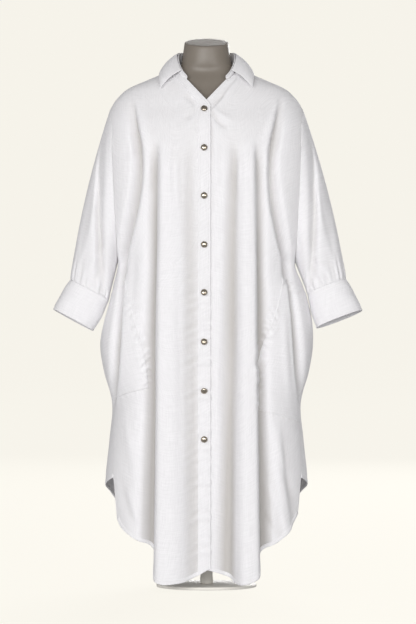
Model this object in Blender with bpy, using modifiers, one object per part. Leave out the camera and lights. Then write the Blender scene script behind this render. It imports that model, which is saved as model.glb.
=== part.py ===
"""A long white linen shirt with wide sleeves, worn by a limbless dress form on a round foot.

Metres, +Z up. The origin is the middle of the foot's underside, the front faces -Y, and +X is on the
viewer's right. Pieces are named for the wearer's sides, so the right front lies at -X.
The cloth is one surface of folded horizontal sections, which each panel takes its points from.
"""

import math
from collections import namedtuple

import bmesh
import bpy
import numpy as np
from mathutils import Vector

# Driving sizes
CLOTH = 0.0012  # wall of one layer of linen, with its seams
CUFF_CLOTH = 0.0020  # a cuff or collar is two layers with a stiffener
SEAM = 0.0004  # air between two pieces that are sewn together
LIFT = 0.0006  # air between a piece and the panel that it lies on
LAP_DEPTH = 0.0030  # the left front sinks this far to pass behind the right one
PLACKET_WIDTH = 0.0285
PLACKET_EDGE = 0.0094  # the button band's free edge, past the centre line
PLACKET_TOP_WIDTH = 0.020  # the same band where it runs up into the neck seam
NECK_POINT_X = 0.072  # where neck seam and shoulder seam meet
NECK_POINT_Z = 1.195
COLLAR_END_X = 0.045  # front end of the neck seam
COLLAR_END_Z = 1.163
BACK_NECK_Z = 1.205
OPENING_Z = 1.101  # the front stands open above this
TIP_X = 0.2205  # tip of the shoulder, where the sleeve starts
TIP_Z = 1.098
UNDERARM_X = 0.2035
UNDERARM_Z = 0.747
BUTTON_RADIUS = 0.0075
BUTTON_HEIGHT = 0.0060
BUTTON_X = -0.0052
FOOT_RADIUS = 0.115
FOOT_HEIGHT = 0.007
POLE_RADIUS = 0.014
TORSO_BOTTOM = 0.560
NECK_TOP_Z = 1.251
NECK_CUT_SLOPE = math.tan(math.radians(15.0))  # the neck is cut off leaning forward

# The cloth's horizontal sections without folds, as flattened ovals, a little wider on the left side
BodySection = namedtuple("BodySection", "z half_width left_extra front back squareness")
BODY_SECTIONS = (
    BodySection(0.000, 0.2220, 0.0000, 0.142, 0.140, 2.4),
    BodySection(0.140, 0.2280, 0.0000, 0.139, 0.137, 2.4),
    BodySection(0.245, 0.2320, 0.0000, 0.137, 0.135, 2.4),
    BodySection(0.340, 0.2230, 0.0000, 0.135, 0.132, 2.4),
    BodySection(0.424, 0.2170, 0.0000, 0.134, 0.130, 2.4),
    BodySection(0.500, 0.2360, 0.0000, 0.135, 0.130, 2.4),
    BodySection(0.560, 0.2430, 0.0010, 0.135, 0.130, 2.4),
    BodySection(0.610, 0.2340, 0.0075, 0.135, 0.128, 2.4),
    BodySection(0.655, 0.2215, 0.0105, 0.134, 0.125, 2.4),
    BodySection(0.700, 0.2125, 0.0060, 0.134, 0.122, 2.4),
    BodySection(0.725, 0.2062, 0.0010, 0.134, 0.121, 2.4),
    BodySection(0.735, 0.2042, 0.0000, 0.134, 0.120, 2.4),
    BodySection(0.747, 0.2038, 0.0000, 0.134, 0.120, 2.4),
    BodySection(0.760, 0.2067, 0.0000, 0.134, 0.119, 2.4),
    BodySection(0.790, 0.2140, 0.0000, 0.134, 0.118, 2.4),
    BodySection(0.850, 0.2280, 0.0000, 0.134, 0.116, 2.4),
    BodySection(0.920, 0.2360, 0.0000, 0.134, 0.115, 2.4),
    BodySection(0.980, 0.2390, 0.0000, 0.133, 0.115, 2.3),
    BodySection(1.030, 0.2370, 0.0000, 0.127, 0.115, 2.2),
    BodySection(1.065, 0.2320, 0.0000, 0.117, 0.113, 2.1),
    BodySection(1.098, 0.2205, 0.0000, 0.101, 0.108, 2.0),
    BodySection(1.124, 0.2035, 0.0000, 0.089, 0.102, 2.0),
    BodySection(1.147, 0.1760, 0.0000, 0.077, 0.095, 2.0),
    BodySection(1.162, 0.1420, 0.0000, 0.068, 0.089, 2.0),
    BodySection(1.177, 0.1070, 0.0000, 0.056, 0.082, 2.0),
    BodySection(1.195, 0.0720, 0.0000, 0.036, 0.075, 2.0),
    BodySection(1.206, 0.0560, 0.0000, 0.024, 0.071, 2.0),
)

# Folds stand out from the oval (positive depth) or sink into it. x is where a fold runs at its top,
# half way and at its foot; inner and outer are its half widths towards the middle and away from it.
# A higher power makes that side of it steeper, with a flatter top. It grows from z_top to z_full, and
# dies away over the length "fade" below z_low, where 0 runs into the hem.
Fold = namedtuple(
    "Fold",
    "face x_top x_mid x_low z_top z_full z_low inner outer inner_power outer_power "
    "depth_top depth_low fade",
)
FOLDS = (
    Fold("front", -0.088, -0.087, -0.086, 1.035, 0.96, 0.00, 0.050, 0.034, 2.2, 5.0, 0.010, 0.040, 0.00),
    Fold("front", 0.094, 0.094, 0.094, 1.035, 0.96, 0.00, 0.032, 0.028, 3.4, 5.0, 0.010, 0.042, 0.00),
    Fold("front", -0.117, -0.123, -0.130, 1.030, 0.93, 0.00, 0.012, 0.026, 2.6, 2.2, -0.010, -0.028, 0.00),
    Fold("front", 0.121, 0.124, 0.129, 1.030, 0.93, 0.00, 0.014, 0.020, 2.6, 2.6, -0.008, -0.018, 0.00),
    Fold("front", -0.038, -0.034, -0.030, 1.040, 0.93, 0.00, 0.016, 0.018, 2.6, 2.6, -0.003, -0.006, 0.00),
    Fold("front", 0.064, 0.057, 0.053, 1.040, 0.93, 0.00, 0.030, 0.012, 2.2, 2.6, -0.008, -0.022, 0.00),
    Fold("front", -0.172, -0.157, -0.193, 1.130, 1.05, 0.77, 0.015, 0.015, 2.6, 2.6, -0.014, -0.030, 0.07),
    Fold("front", 0.172, 0.151, 0.186, 1.130, 1.05, 0.75, 0.015, 0.015, 2.6, 2.6, -0.014, -0.028, 0.07),
    Fold("front", -0.190, -0.202, -0.212, 0.750, 0.66, 0.46, 0.012, 0.016, 2.6, 2.6, -0.026, -0.012, 0.06),
    Fold("front", 0.186, 0.204, 0.214, 0.730, 0.64, 0.46, 0.012, 0.018, 2.6, 2.6, -0.020, -0.012, 0.06),
    Fold("front", 0.158, 0.168, 0.186, 0.400, 0.30, 0.10, 0.018, 0.018, 2.6, 2.6, 0.006, 0.008, 0.08),
    Fold("back", -0.150, -0.160, -0.165, 1.000, 0.80, 0.00, 0.030, 0.030, 2.6, 2.6, 0.006, 0.022, 0.00),
    Fold("back", -0.098, -0.108, -0.112, 0.980, 0.80, 0.00, 0.016, 0.016, 2.6, 2.6, -0.006, -0.026, 0.00),
    Fold("back", -0.045, -0.052, -0.055, 1.020, 0.80, 0.00, 0.030, 0.030, 2.6, 2.6, 0.008, 0.026, 0.00),
    Fold("back", 0.004, 0.006, 0.006, 1.000, 0.80, 0.00, 0.016, 0.016, 2.6, 2.6, -0.006, -0.022, 0.00),
    Fold("back", 0.052, 0.062, 0.066, 1.020, 0.80, 0.00, 0.032, 0.030, 2.6, 2.6, 0.008, 0.026, 0.00),
    Fold("back", 0.104, 0.116, 0.122, 0.980, 0.80, 0.00, 0.016, 0.016, 2.6, 2.6, -0.006, -0.026, 0.00),
    Fold("back", 0.150, 0.166, 0.172, 1.000, 0.80, 0.00, 0.026, 0.030, 2.6, 2.6, 0.006, 0.020, 0.00),
)
FOLD_NARROWING = 0.45  # share of its width that a fold loses at its top

# Height of the hem against the share of the way round from the middle to the side seam. Below the side
# seam's end the fronts hang on as flaps with an upright edge, and the back's hem starts there.
Hem = namedtuple("Hem", "share right_front left_front back")
HEM = (
    Hem(0.00, 0.053, 0.053, 0.040),
    Hem(0.10, 0.036, 0.045, 0.044),
    Hem(0.20, 0.024, 0.035, 0.055),
    Hem(0.30, 0.019, 0.020, 0.075),
    Hem(0.42, 0.019, 0.018, 0.112),
    Hem(0.52, 0.034, 0.032, 0.150),
    Hem(0.60, 0.060, 0.052, 0.180),
    Hem(0.70, 0.101, 0.092, 0.217),
    Hem(0.80, 0.112, 0.107, 0.232),
    Hem(0.88, 0.125, 0.127, 0.240),
    Hem(0.94, 0.137, 0.146, 0.247),
    Hem(0.98, 0.150, 0.162, 0.252),
    Hem(1.00, 0.162, 0.172, 0.254),
)

# Angle round the body of the side seam, where 0 is the front and 90 the side
SideSeam = namedtuple("SideSeam", "z right_angle left_angle")
SIDE_SEAM = (
    SideSeam(0.000, 62.0, 64.5),
    SideSeam(0.200, 61.4, 63.8),
    SideSeam(0.240, 63.1, 65.5),
    SideSeam(0.254, 64.5, 66.8),
    SideSeam(0.330, 71.8, 73.2),
    SideSeam(0.424, 79.0, 79.6),
    SideSeam(0.510, 83.8, 84.0),
    SideSeam(0.600, 87.0, 87.0),
    SideSeam(0.747, 90.0, 90.0),
)

# The patch pocket's inner edge; above and below the pocket it is only a line of the front's net
PocketEdge = namedtuple("PocketEdge", "z right_x left_x")
POCKET_EDGE = (
    PocketEdge(0.000, -0.152, 0.152),
    PocketEdge(0.250, -0.146, 0.140),
    PocketEdge(0.370, -0.140, 0.122),
    PocketEdge(0.450, -0.137, 0.116),
    PocketEdge(0.520, -0.141, 0.120),
    PocketEdge(0.570, -0.151, 0.134),
    PocketEdge(0.630, -0.168, 0.156),
    PocketEdge(0.700, -0.184, 0.172),
    PocketEdge(0.850, -0.160, 0.155),
    PocketEdge(1.000, -0.130, 0.130),
    PocketEdge(1.150, -0.125, 0.125),
)

# Heights of a pocket's mouth and bottom at its inner edge and at the side seam. In the middle of the
# garment, where the two fronts lap over each other, both use the same heights.
PocketHeight = namedtuple("PocketHeight", "mouth_inner mouth_side bottom_inner bottom_side")
POCKET_HEIGHT = {
    -1: PocketHeight(0.704, 0.671, 0.459, 0.427),
    1: PocketHeight(0.710, 0.675, 0.410, 0.380),
}
NET_MOUTH_Z = 0.700
NET_BOTTOM_Z = 0.430

# The neck seam, the top of the collar stand and the collar's outer edge, from the middle of the back
# round to the wearer's left front end; the right side is the mirror image
CollarRow = namedtuple("CollarRow", "place stand_x stand_y stand_z edge_x edge_y edge_z")
COLLAR_ROWS = (
    CollarRow(0.00, 0.0000, 0.0620, 1.2330, 0.0000, 0.0870, 1.1900),
    CollarRow(0.20, 0.0280, 0.0560, 1.2320, 0.0460, 0.0830, 1.1870),
    CollarRow(0.38, 0.0510, 0.0370, 1.2290, 0.0830, 0.0600, 1.1820),
    CollarRow(0.54, 0.0640, 0.0140, 1.2260, 0.1030, 0.0250, 1.1830),
    CollarRow(0.68, 0.0660, -0.0110, 1.2160, 0.1080, -0.0120, 1.1810),
    CollarRow(0.82, 0.0625, -0.0330, 1.2000, 0.1090, -0.0460, 1.1680),
    CollarRow(0.92, 0.0560, -0.0500, 1.1850, 0.1070, -0.0680, 1.1530),
    CollarRow(1.00, 0.0455, -0.0660, 1.1705, 0.1047, -0.0780, 1.1420),
)
FALL_END = 0.93  # the collar's fold stops short of the stand's front end

# A cuff's seam ring and opening ring, as seen from the front: middle, half length and place in depth
Cuff = namedtuple(
    "Cuff", "side seam_x seam_z seam_half seam_y open_x open_z open_half open_y depth"
)
CUFFS = (
    Cuff(-1, -0.2690, 0.6815, 0.0495, -0.010, -0.3060, 0.6130, 0.0515, -0.015, 0.040),
    Cuff(1, 0.2765, 0.6890, 0.0470, -0.012, 0.3050, 0.6150, 0.0556, -0.022, 0.040),
)
SLEEVE_PUFF = 0.010  # how far the sleeve stands out of the straight line from shoulder to cuff

# A sleeve's folds run down its front and back: x at the shoulder, half way and at the cuff
SleeveFold = namedtuple("SleeveFold", "x_top x_mid x_low z_top z_low width depth")
SLEEVE_FOLDS = (
    SleeveFold(0.236, 0.246, 0.236, 1.09, 0.66, 0.009, 0.016),
    SleeveFold(0.278, 0.282, 0.286, 0.98, 0.70, 0.012, 0.005),
)

# The dress form's sections, smooth and general
FormSection = namedtuple("FormSection", "z half_width front back")
FORM_SECTIONS = (
    FormSection(0.5600, 0.120, 0.070, 0.075),
    FormSection(0.5660, 0.148, 0.082, 0.090),
    FormSection(0.5900, 0.164, 0.090, 0.098),
    FormSection(0.6400, 0.169, 0.092, 0.100),
    FormSection(0.7000, 0.158, 0.088, 0.092),
    FormSection(0.7600, 0.143, 0.083, 0.082),
    FormSection(0.8200, 0.137, 0.082, 0.077),
    FormSection(0.8900, 0.147, 0.094, 0.080),
    FormSection(0.9700, 0.163, 0.105, 0.085),
    FormSection(1.0200, 0.175, 0.102, 0.088),
    FormSection(1.0600, 0.184, 0.094, 0.088),
    FormSection(1.0900, 0.184, 0.083, 0.085),
    FormSection(1.1140, 0.177, 0.073, 0.081),
    FormSection(1.1310, 0.163, 0.065, 0.077),
    FormSection(1.1450, 0.150, 0.059, 0.073),
    FormSection(1.1608, 0.138, 0.053, 0.069),
    FormSection(1.1730, 0.104, 0.045, 0.064),
    FormSection(1.1850, 0.071, 0.041, 0.060),
    FormSection(1.1990, 0.0585, 0.0455, 0.057),
    FormSection(1.2200, 0.0545, 0.0465, 0.0555),
    FormSection(NECK_TOP_Z, 0.0505, 0.0460, 0.0520),
)

BUTTON_HEIGHTS = (1.0908, 1.0033, 0.8952, 0.7844, 0.6757, 0.5640, 0.4543, 0.3436)

# How finely the nets are drawn: cells across each band and down each band
PLACKET_CELLS = 3
FRONT_CELLS = 14
POCKET_CELLS = 8
TOP_ROWS = 13
UNDERARM_ROWS = 2
POCKET_ROWS = 6
HEM_ROWS = 8
BACK_CELLS = 32
SLEEVE_SIDE_CELLS = 11
SLEEVE_ROWS = 9
COLLAR_CELLS = 28
ROUND_SAMPLES = 481  # points that a folded section is worked out at
LEVEL_STEP = 0.005

COLOURS = {
    "linen": ((0.87, 0.87, 0.88, 1.0), 0.85, 0.0),
    "button": ((0.40, 0.36, 0.31, 1.0), 0.30, 0.8),
    "form": ((0.46, 0.44, 0.41, 1.0), 0.50, 0.0),
    "foot": ((0.86, 0.85, 0.82, 1.0), 0.45, 0.0),
}


def curve_through(stations, values, at):
    """A smooth curve through a table's values, read at one or many places."""
    stations = np.asarray(stations, float)
    values = np.asarray(values, float)
    at = np.clip(np.asarray(at, float), stations[0], stations[-1])
    slopes = np.gradient(values, stations)
    left = np.clip(np.searchsorted(stations, at, side="right") - 1, 0, len(stations) - 2)
    step = stations[left + 1] - stations[left]
    s = (at - stations[left]) / step
    return (
        (2 * s**3 - 3 * s**2 + 1) * values[left]
        + (s**3 - 2 * s**2 + s) * step * slopes[left]
        + (3 * s**2 - 2 * s**3) * values[left + 1]
        + (s**3 - s**2) * step * slopes[left + 1]
    )


def column(table, name):
    """One named column of a table."""
    return [getattr(row, name) for row in table]


def smoothstep(low, high, value):
    """0 below low, 1 above high, and a soft ramp between."""
    s = np.clip((value - low) / (high - low), 0.0, 1.0)
    return s * s * (3 - 2 * s)


def body_size(z, name):
    """One size of the unfolded section at height z."""
    return curve_through(column(BODY_SECTIONS, "z"), column(BODY_SECTIONS, name), z)


def armhole_x(z):
    """The plane that parts a sleeve from the body, as distance from the middle."""
    slope = (TIP_X - UNDERARM_X) / (TIP_Z - UNDERARM_Z)
    return UNDERARM_X + slope * (z - UNDERARM_Z)


def half_width_at(x, z):
    """Half width of the unfolded section at height z, on the side that x lies on."""
    return body_size(z, "half_width") + body_size(z, "left_extra") * (np.asarray(x) > 0)


def angle_at(x, z):
    """Angle round the unfolded section, in radians, of the front point that lies at x."""
    share = np.clip(np.abs(x) / half_width_at(x, z), 0.0, 1.0)
    return np.sign(x) * np.arcsin(share ** (body_size(z, "squareness") / 2))


def fold_push(fold, z, along, x, is_front):
    """How far one fold moves the section at height z out of its oval, at each sample."""
    grown = 1 - smoothstep(fold.z_full, fold.z_top, z)
    if fold.fade > 0:
        grown = grown * smoothstep(fold.z_low - fold.fade, fold.z_low, z)
    if grown <= 0:
        return 0.0
    down = min(max((fold.z_top - z) / (fold.z_top - fold.z_low), 0.0), 1.0)
    stations = (0.0, 0.5, 1.0)
    centre_x = curve_through(stations, (fold.x_top, fold.x_mid, fold.x_low), down)
    side = is_front if fold.face == "front" else ~is_front
    order = np.argsort(x[side])
    centre = np.interp(centre_x, x[side][order], along[side][order])
    width_share = 1 - FOLD_NARROWING * (1 - down)
    outward = np.sign(centre_x) if fold.face == "front" else -np.sign(centre_x)
    away = (along - centre) * (outward if outward else 1.0)
    width = np.where(away > 0, fold.outer, fold.inner) * width_share
    power = np.where(away > 0, fold.outer_power, fold.inner_power)
    depth = fold.depth_top + (fold.depth_low - fold.depth_top) * down
    return grown * depth * np.exp(-np.abs(away / width) ** power)


def folded_section(z):
    """The folded section at height z: x, y and length along it, at angles from -180 to 180 degrees."""
    angle = np.linspace(-math.pi, math.pi, ROUND_SAMPLES)
    width = half_width_at(angle, z)
    power = 2.0 / float(body_size(z, "squareness"))
    is_front = np.abs(angle) <= math.pi / 2
    deep = np.where(is_front, body_size(z, "front"), body_size(z, "back"))
    sine, cosine = np.sin(angle), np.cos(angle)
    x = width * np.sign(sine) * np.abs(sine) ** power
    y = -deep * np.sign(cosine) * np.abs(cosine) ** power
    along = lengths_along(x, y)
    normal_x = np.sign(x) * (np.abs(x) / width) ** (2 / power - 1) / width
    normal_y = np.sign(y) * (np.abs(y) / deep) ** (2 / power - 1) / deep
    size = np.hypot(normal_x, normal_y) + 1e-9
    push = np.zeros_like(x)
    for fold in FOLDS:
        push = push + fold_push(fold, z, along, x, is_front)
    x = x + push * normal_x / size
    y = y + push * normal_y / size
    return x, y, lengths_along(x, y)


def lengths_along(x, y):
    """Length from the middle of the front to each point of a section, negative on the -X side."""
    steps = np.hypot(np.diff(x), np.diff(y))
    total = np.concatenate([[0.0], np.cumsum(steps)])
    return total - total[len(total) // 2]


LEVELS = np.arange(0.0, 1.215, LEVEL_STEP)
SECTIONS = np.array([folded_section(z) for z in LEVELS])


def section_at(z):
    """The folded section at any height, between the two nearest levels."""
    place = min(max(z / LEVEL_STEP, 0.0), len(LEVELS) - 1.001)
    low = int(place)
    part = place - low
    return SECTIONS[low] * (1 - part) + SECTIONS[low + 1] * part


def index_of(angle):
    """Place of an angle among a section's samples."""
    return (angle + math.pi) / (2 * math.pi) * (ROUND_SAMPLES - 1)


def read_section(section, place):
    """x, y and length at a fractional place among a section's samples."""
    samples = np.arange(ROUND_SAMPLES)
    return [float(np.interp(place, samples, row)) for row in section]


def side_place(section, z, side, face):
    """Place of the panel's outer edge: the armhole above the underarm, else the side seam."""
    if z < UNDERARM_Z:
        angles = column(SIDE_SEAM, "right_angle" if side < 0 else "left_angle")
        degrees = float(curve_through(column(SIDE_SEAM, "z"), angles, z))
        return index_of(side * math.radians(degrees))
    half = index_of(side * math.pi / 2)
    reach = armhole_x(z)
    x = np.abs(section[0])
    step = -side if face == "front" else side
    place = int(round(half))
    while x[place] > reach and 0 < place < ROUND_SAMPLES - 1:
        place += step
    if x[place] >= reach or place == int(round(half)):
        return float(place)
    back = (reach - x[place]) / max(x[place - step] - x[place], 1e-9)
    return place - step * back


def opening_x(side, z):
    """x of a front's free edge: straight down the front, and slanting away above the first button."""
    straight = PLACKET_EDGE if side < 0 else PLACKET_EDGE - PLACKET_WIDTH
    z = min(z, COLLAR_END_Z)
    slope = (COLLAR_END_X + 0.0025) / (COLLAR_END_Z - OPENING_Z - 0.011)
    slanted = side * (COLLAR_END_X - slope * (COLLAR_END_Z - z))
    if side < 0:
        return min(straight, slanted)
    return max(straight, slanted)


def seam_top_z(x, face):
    """Height of the neck seam and the shoulder seam above the point x."""
    reach = abs(x)
    if reach < NECK_POINT_X:
        if face == "back":
            return BACK_NECK_Z - (BACK_NECK_Z - NECK_POINT_Z) * (reach / NECK_POINT_X) ** 2
        share = (reach - COLLAR_END_X) / (NECK_POINT_X - COLLAR_END_X)
        return COLLAR_END_Z + (NECK_POINT_Z - COLLAR_END_Z) * max(share, 0.0) ** 1.9
    heights = np.linspace(NECK_POINT_Z, TIP_Z, 200)
    return float(np.interp(reach, body_size(heights, "half_width"), heights))


def front_columns(side):
    """x at the top of each column of a front's net, from the free edge to the shoulder tip."""
    edge = side * COLLAR_END_X
    band = side * (COLLAR_END_X + PLACKET_TOP_WIDTH)
    inner = side * 0.125
    tip = side * TIP_X
    return np.concatenate(
        [
            np.linspace(edge, band, PLACKET_CELLS + 1),
            np.linspace(band, inner, FRONT_CELLS + 1)[1:],
            np.linspace(inner, tip, POCKET_CELLS + 1)[1:],
        ]
    )


def band_places(start, stop, count):
    """Places that split a stretch of a section's length evenly, without its first point."""
    return [start + (stop - start) * (i + 1) / count for i in range(count)]


def band_width(z):
    """Width of the button band, which narrows a little as it runs up into the neck seam."""
    return PLACKET_WIDTH + (PLACKET_TOP_WIDTH - PLACKET_WIDTH) * float(smoothstep(OPENING_Z, COLLAR_END_Z, z))


def front_lengths(side, z, section):
    """Length along the section of each column of a front's net at height z."""
    samples = np.arange(ROUND_SAMPLES)
    along = section[2]
    edge_x = opening_x(side, z)
    pocket = column(POCKET_EDGE, "right_x" if side < 0 else "left_x")
    inner_x = curve_through(column(POCKET_EDGE, "z"), pocket, z)

    def length_at_angle(angle):
        return float(np.interp(index_of(angle), samples, along))

    edge = length_at_angle(angle_at(edge_x, z))
    placket = length_at_angle(angle_at(edge_x + side * band_width(z), z))
    inner = length_at_angle(angle_at(inner_x, z))
    outer = float(np.interp(side_place(section, z, side, "front"), samples, along))
    lengths = [edge]
    lengths += band_places(edge, placket, PLACKET_CELLS)
    lengths += band_places(placket, inner, FRONT_CELLS)
    lengths += band_places(inner, outer, POCKET_CELLS)
    return lengths


def hanging_place(side, z, col, x_top, section):
    """Place of a column near the shoulder, where it hangs straight down from its point on the seam."""
    if col == PLACKET_CELLS + FRONT_CELLS + POCKET_CELLS:
        return side_place(section, z, side, "front")
    if col <= PLACKET_CELLS:
        return index_of(angle_at(opening_x(side, z) + side * band_width(z) * col / PLACKET_CELLS, z))
    band_top = side * (COLLAR_END_X + PLACKET_TOP_WIDTH)
    shift = opening_x(side, z) + side * band_width(z) - band_top
    shift *= 1 - float(smoothstep(abs(band_top), 0.130, abs(x_top)))
    return index_of(angle_at(x_top + shift, z))


def row_heights(top, mouth, bottom, hem):
    """Heights of a column's points: close together over the shoulder, with one at the underarm."""
    spacing = np.linspace(0, 1, TOP_ROWS + 1) ** 1.7
    heights = list(top - (top - UNDERARM_Z) * spacing)
    heights += list(np.linspace(UNDERARM_Z, mouth, UNDERARM_ROWS + 1)[1:])
    heights += list(np.linspace(mouth, bottom, POCKET_ROWS + 1)[1:])
    heights += list(np.linspace(bottom, hem, HEM_ROWS + 1)[1:])
    return heights


def front_row_heights(side, col, x_top, share_out):
    """Heights of one front column, with rows on the pocket's mouth and bottom."""
    pocket = POCKET_HEIGHT[side]
    first = PLACKET_CELLS
    last = PLACKET_CELLS + FRONT_CELLS
    if col <= last:
        ease = float(smoothstep(first, last, col))
        mouth = NET_MOUTH_Z + (pocket.mouth_inner - NET_MOUTH_Z) * ease
        bottom = NET_BOTTOM_Z + (pocket.bottom_inner - NET_BOTTOM_Z) * ease
    else:
        ease = (col - last) / POCKET_CELLS
        mouth = pocket.mouth_inner + (pocket.mouth_side - pocket.mouth_inner) * ease
        bottom = pocket.bottom_inner + (pocket.bottom_side - pocket.bottom_inner) * ease
    hem_name = "right_front" if side < 0 else "left_front"
    hem = float(np.interp(share_out, column(HEM, "share"), column(HEM, hem_name)))
    return row_heights(seam_top_z(x_top, "front"), mouth, bottom, hem)


def side_point(section, z, side, face):
    """A panel's point on the armhole or the side seam, half the seam's gap short of it."""
    place = side_place(section, z, side, face)
    x, y, _ = read_section(section, place)
    if z >= UNDERARM_Z - 1e-6:
        return x, max(y, SEAM / 2) if face == "back" else min(y, -SEAM / 2), z
    tangent = side_tangent(section, place, side)
    step = SEAM / 2 if face == "back" else -SEAM / 2
    return x + tangent[0] * step, y + tangent[1] * step, z


def side_tangent(section, place, side):
    """Level direction across the side seam, towards the back."""
    ahead = read_section(section, place + 3)
    behind = read_section(section, place - 3)
    tangent = np.array((ahead[0] - behind[0], ahead[1] - behind[1]))
    return side * tangent / np.linalg.norm(tangent)


def front_net(side):
    """A front panel's outer face, as rows of points from the top seam down to the hem."""
    samples = np.arange(ROUND_SAMPLES)
    tops = front_columns(side)
    hem_lengths = front_lengths(side, 0.12, section_at(0.12))
    shares = (np.array(hem_lengths) - hem_lengths[0]) / (hem_lengths[-1] - hem_lengths[0])
    columns = []
    for col, x_top in enumerate(tops):
        points = []
        for z in front_row_heights(side, col, x_top, shares[col]):
            section = section_at(z)
            if col == len(tops) - 1:
                points.append(side_point(section, z, side, "front"))
                continue
            hanging = hanging_place(side, z, col, x_top, section)
            spread = float(np.interp(front_lengths(side, z, section)[col], section[2], samples))
            ease = float(smoothstep(0.97, 1.08, z))
            x, y, _ = read_section(section, spread + (hanging - spread) * ease)
            points.append((x, y + lap_depth(side, col), z))
        columns.append(points)
    net = np.array(columns).transpose(1, 0, 2)
    net[0, :, 1] = np.minimum(net[0, :, 1], -SEAM / 2)
    return net if side > 0 else net[:, ::-1]


def lap_depth(side, col):
    """How far the left front lies behind the right one, where they lap over each other."""
    if side < 0:
        return 0.0
    return LAP_DEPTH * (1 - float(smoothstep(PLACKET_CELLS, PLACKET_CELLS + 2.0, col)))


def back_net():
    """The back panel's outer face, from the neck and shoulders down, from the left side to the right."""
    samples = np.arange(ROUND_SAMPLES)
    half = BACK_CELLS // 2
    columns = []
    for col, x_top in enumerate(np.linspace(TIP_X, -TIP_X, BACK_CELLS + 1)):
        side = 1 if col < half else -1
        share_out = abs(col - half) / half
        ease_out = float(smoothstep(0, 1, share_out))
        pocket = POCKET_HEIGHT[side]
        mouth = NET_MOUTH_Z + (pocket.mouth_side - NET_MOUTH_Z) * ease_out
        bottom = NET_BOTTOM_Z + (pocket.bottom_side - NET_BOTTOM_Z) * ease_out
        hem = float(np.interp(share_out, column(HEM, "share"), column(HEM, "back")))
        points = []
        for z in row_heights(seam_top_z(x_top, "back"), mouth, bottom, hem):
            section = section_at(z)
            if share_out == 1.0:
                points.append(side_point(section, z, side, "back"))
                continue
            outer = side_place(section, z, side, "back")
            middle = float(ROUND_SAMPLES - 1) if side > 0 else 0.0
            reach = np.interp(outer, samples, section[2]) - np.interp(middle, samples, section[2])
            length = np.interp(middle, samples, section[2]) + reach * share_out
            spread = float(np.interp(length, section[2], samples))
            hanging = index_of(side * math.pi - float(angle_at(x_top, z)))
            ease = float(smoothstep(0.97, 1.08, z))
            x, y, _ = read_section(section, spread + (hanging - spread) * ease)
            points.append((x, y, z))
        columns.append(points)
    net = np.array(columns).transpose(1, 0, 2)
    net[0, :, 1] = np.maximum(net[0, :, 1], SEAM / 2)
    return net


def net_normals(net, closed=False):
    """Unit normal at each point of a net, from its neighbours."""
    down = np.gradient(net, axis=0)
    if closed:
        wrapped = np.concatenate([net[:, -1:], net, net[:, :1]], axis=1)
        across = (wrapped[:, 2:] - wrapped[:, :-2]) / 2
    else:
        across = np.gradient(net, axis=1)
    normals = np.cross(down, across)
    normals = normals / (np.linalg.norm(normals, axis=2, keepdims=True) + 1e-12)
    if not closed:
        for col, inner in ((0, 1), (-1, -2)):
            normals[0, col] = normals[1, inner]  # two edges may meet here in one straight line
    return normals


def mitred(normals, where, plane):
    """Normals turned into a seam's plane, so that both walls end square on it."""
    plane = np.asarray(plane, float) / np.linalg.norm(plane)
    turned = normals[where] - (normals[where] @ plane)[..., None] * plane
    size = np.linalg.norm(turned, axis=-1, keepdims=True)
    normals[where] = turned / np.maximum(size, 0.2)


def cloth_mesh(outer, inner, closed=False, rising=False):
    """Mesh of a wall between an outer and an inner net, with its edges closed.

    Every cell is split along the same diagonal, so that a patch follows the panel beneath it exactly.
    Where the opening slants, the rising diagonal is the short one on the right front.
    """
    rows, cols = outer.shape[:2]
    mesh = bmesh.new()
    top, under = [
        [[mesh.verts.new(Vector(point)) for point in row] for row in net] for net in (outer, inner)
    ]
    span = cols if closed else cols - 1
    for r in range(rows - 1):
        for c in range(span):
            d = (c + 1) % cols
            corners = [(r, c), (r + 1, c), (r + 1, d), (r, d)]
            if rising:
                corners = corners[1:] + corners[:1]
            first, second = corners[:3], corners[:1] + corners[2:]
            for triangle in (first, second):
                mesh.faces.new([top[row][col] for row, col in triangle])
                mesh.faces.new([under[row][col] for row, col in triangle[::-1]])
    for c in range(span):
        d = (c + 1) % cols
        last = rows - 1
        mesh.faces.new((top[0][c], top[0][d], under[0][d], under[0][c]))
        mesh.faces.new((top[last][d], top[last][c], under[last][c], under[last][d]))
    if not closed:
        for r in range(rows - 1):
            last = cols - 1
            mesh.faces.new((top[r + 1][0], top[r][0], under[r][0], under[r + 1][0]))
            mesh.faces.new((top[r][last], top[r + 1][last], under[r + 1][last], under[r][last]))
    bmesh.ops.recalc_face_normals(mesh, faces=mesh.faces)
    return mesh


def material(name):
    """A Principled material of one of the named finishes."""
    if name in bpy.data.materials:
        return bpy.data.materials[name]
    colour, roughness, metallic = COLOURS[name]
    made = bpy.data.materials.new(name)
    made.use_nodes = True
    shader = made.node_tree.nodes["Principled BSDF"]
    shader.inputs["Base Color"].default_value = colour
    shader.inputs["Roughness"].default_value = roughness
    shader.inputs["Metallic"].default_value = metallic
    return made


def add_object(name, mesh, finish, collection, smooth=True):
    """Links a finished bmesh as one named piece."""
    data = bpy.data.meshes.new(name)
    mesh.to_mesh(data)
    mesh.free()
    data.materials.append(material(finish))
    if smooth:
        data.shade_smooth()
    piece = bpy.data.objects.new(name, data)
    collection.objects.link(piece)
    return piece


def add_cloth(name, net, collection, thickness=CLOTH, seams=(), closed=False, rising=False):
    """A cloth piece: the net is its outer face, with a wall of that thickness under it."""
    normals = net_normals(net, closed)
    for where, plane in seams:
        mitred(normals, where, plane)
    mesh = cloth_mesh(net, net - normals * thickness, closed, rising)
    return add_object(name, mesh, "linen", collection)


def armhole_plane(side):
    """Normal of the plane between a sleeve and the body."""
    slope = (TIP_X - UNDERARM_X) / (TIP_Z - UNDERARM_Z)
    return (1.0, 0.0, -side * slope)


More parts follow.
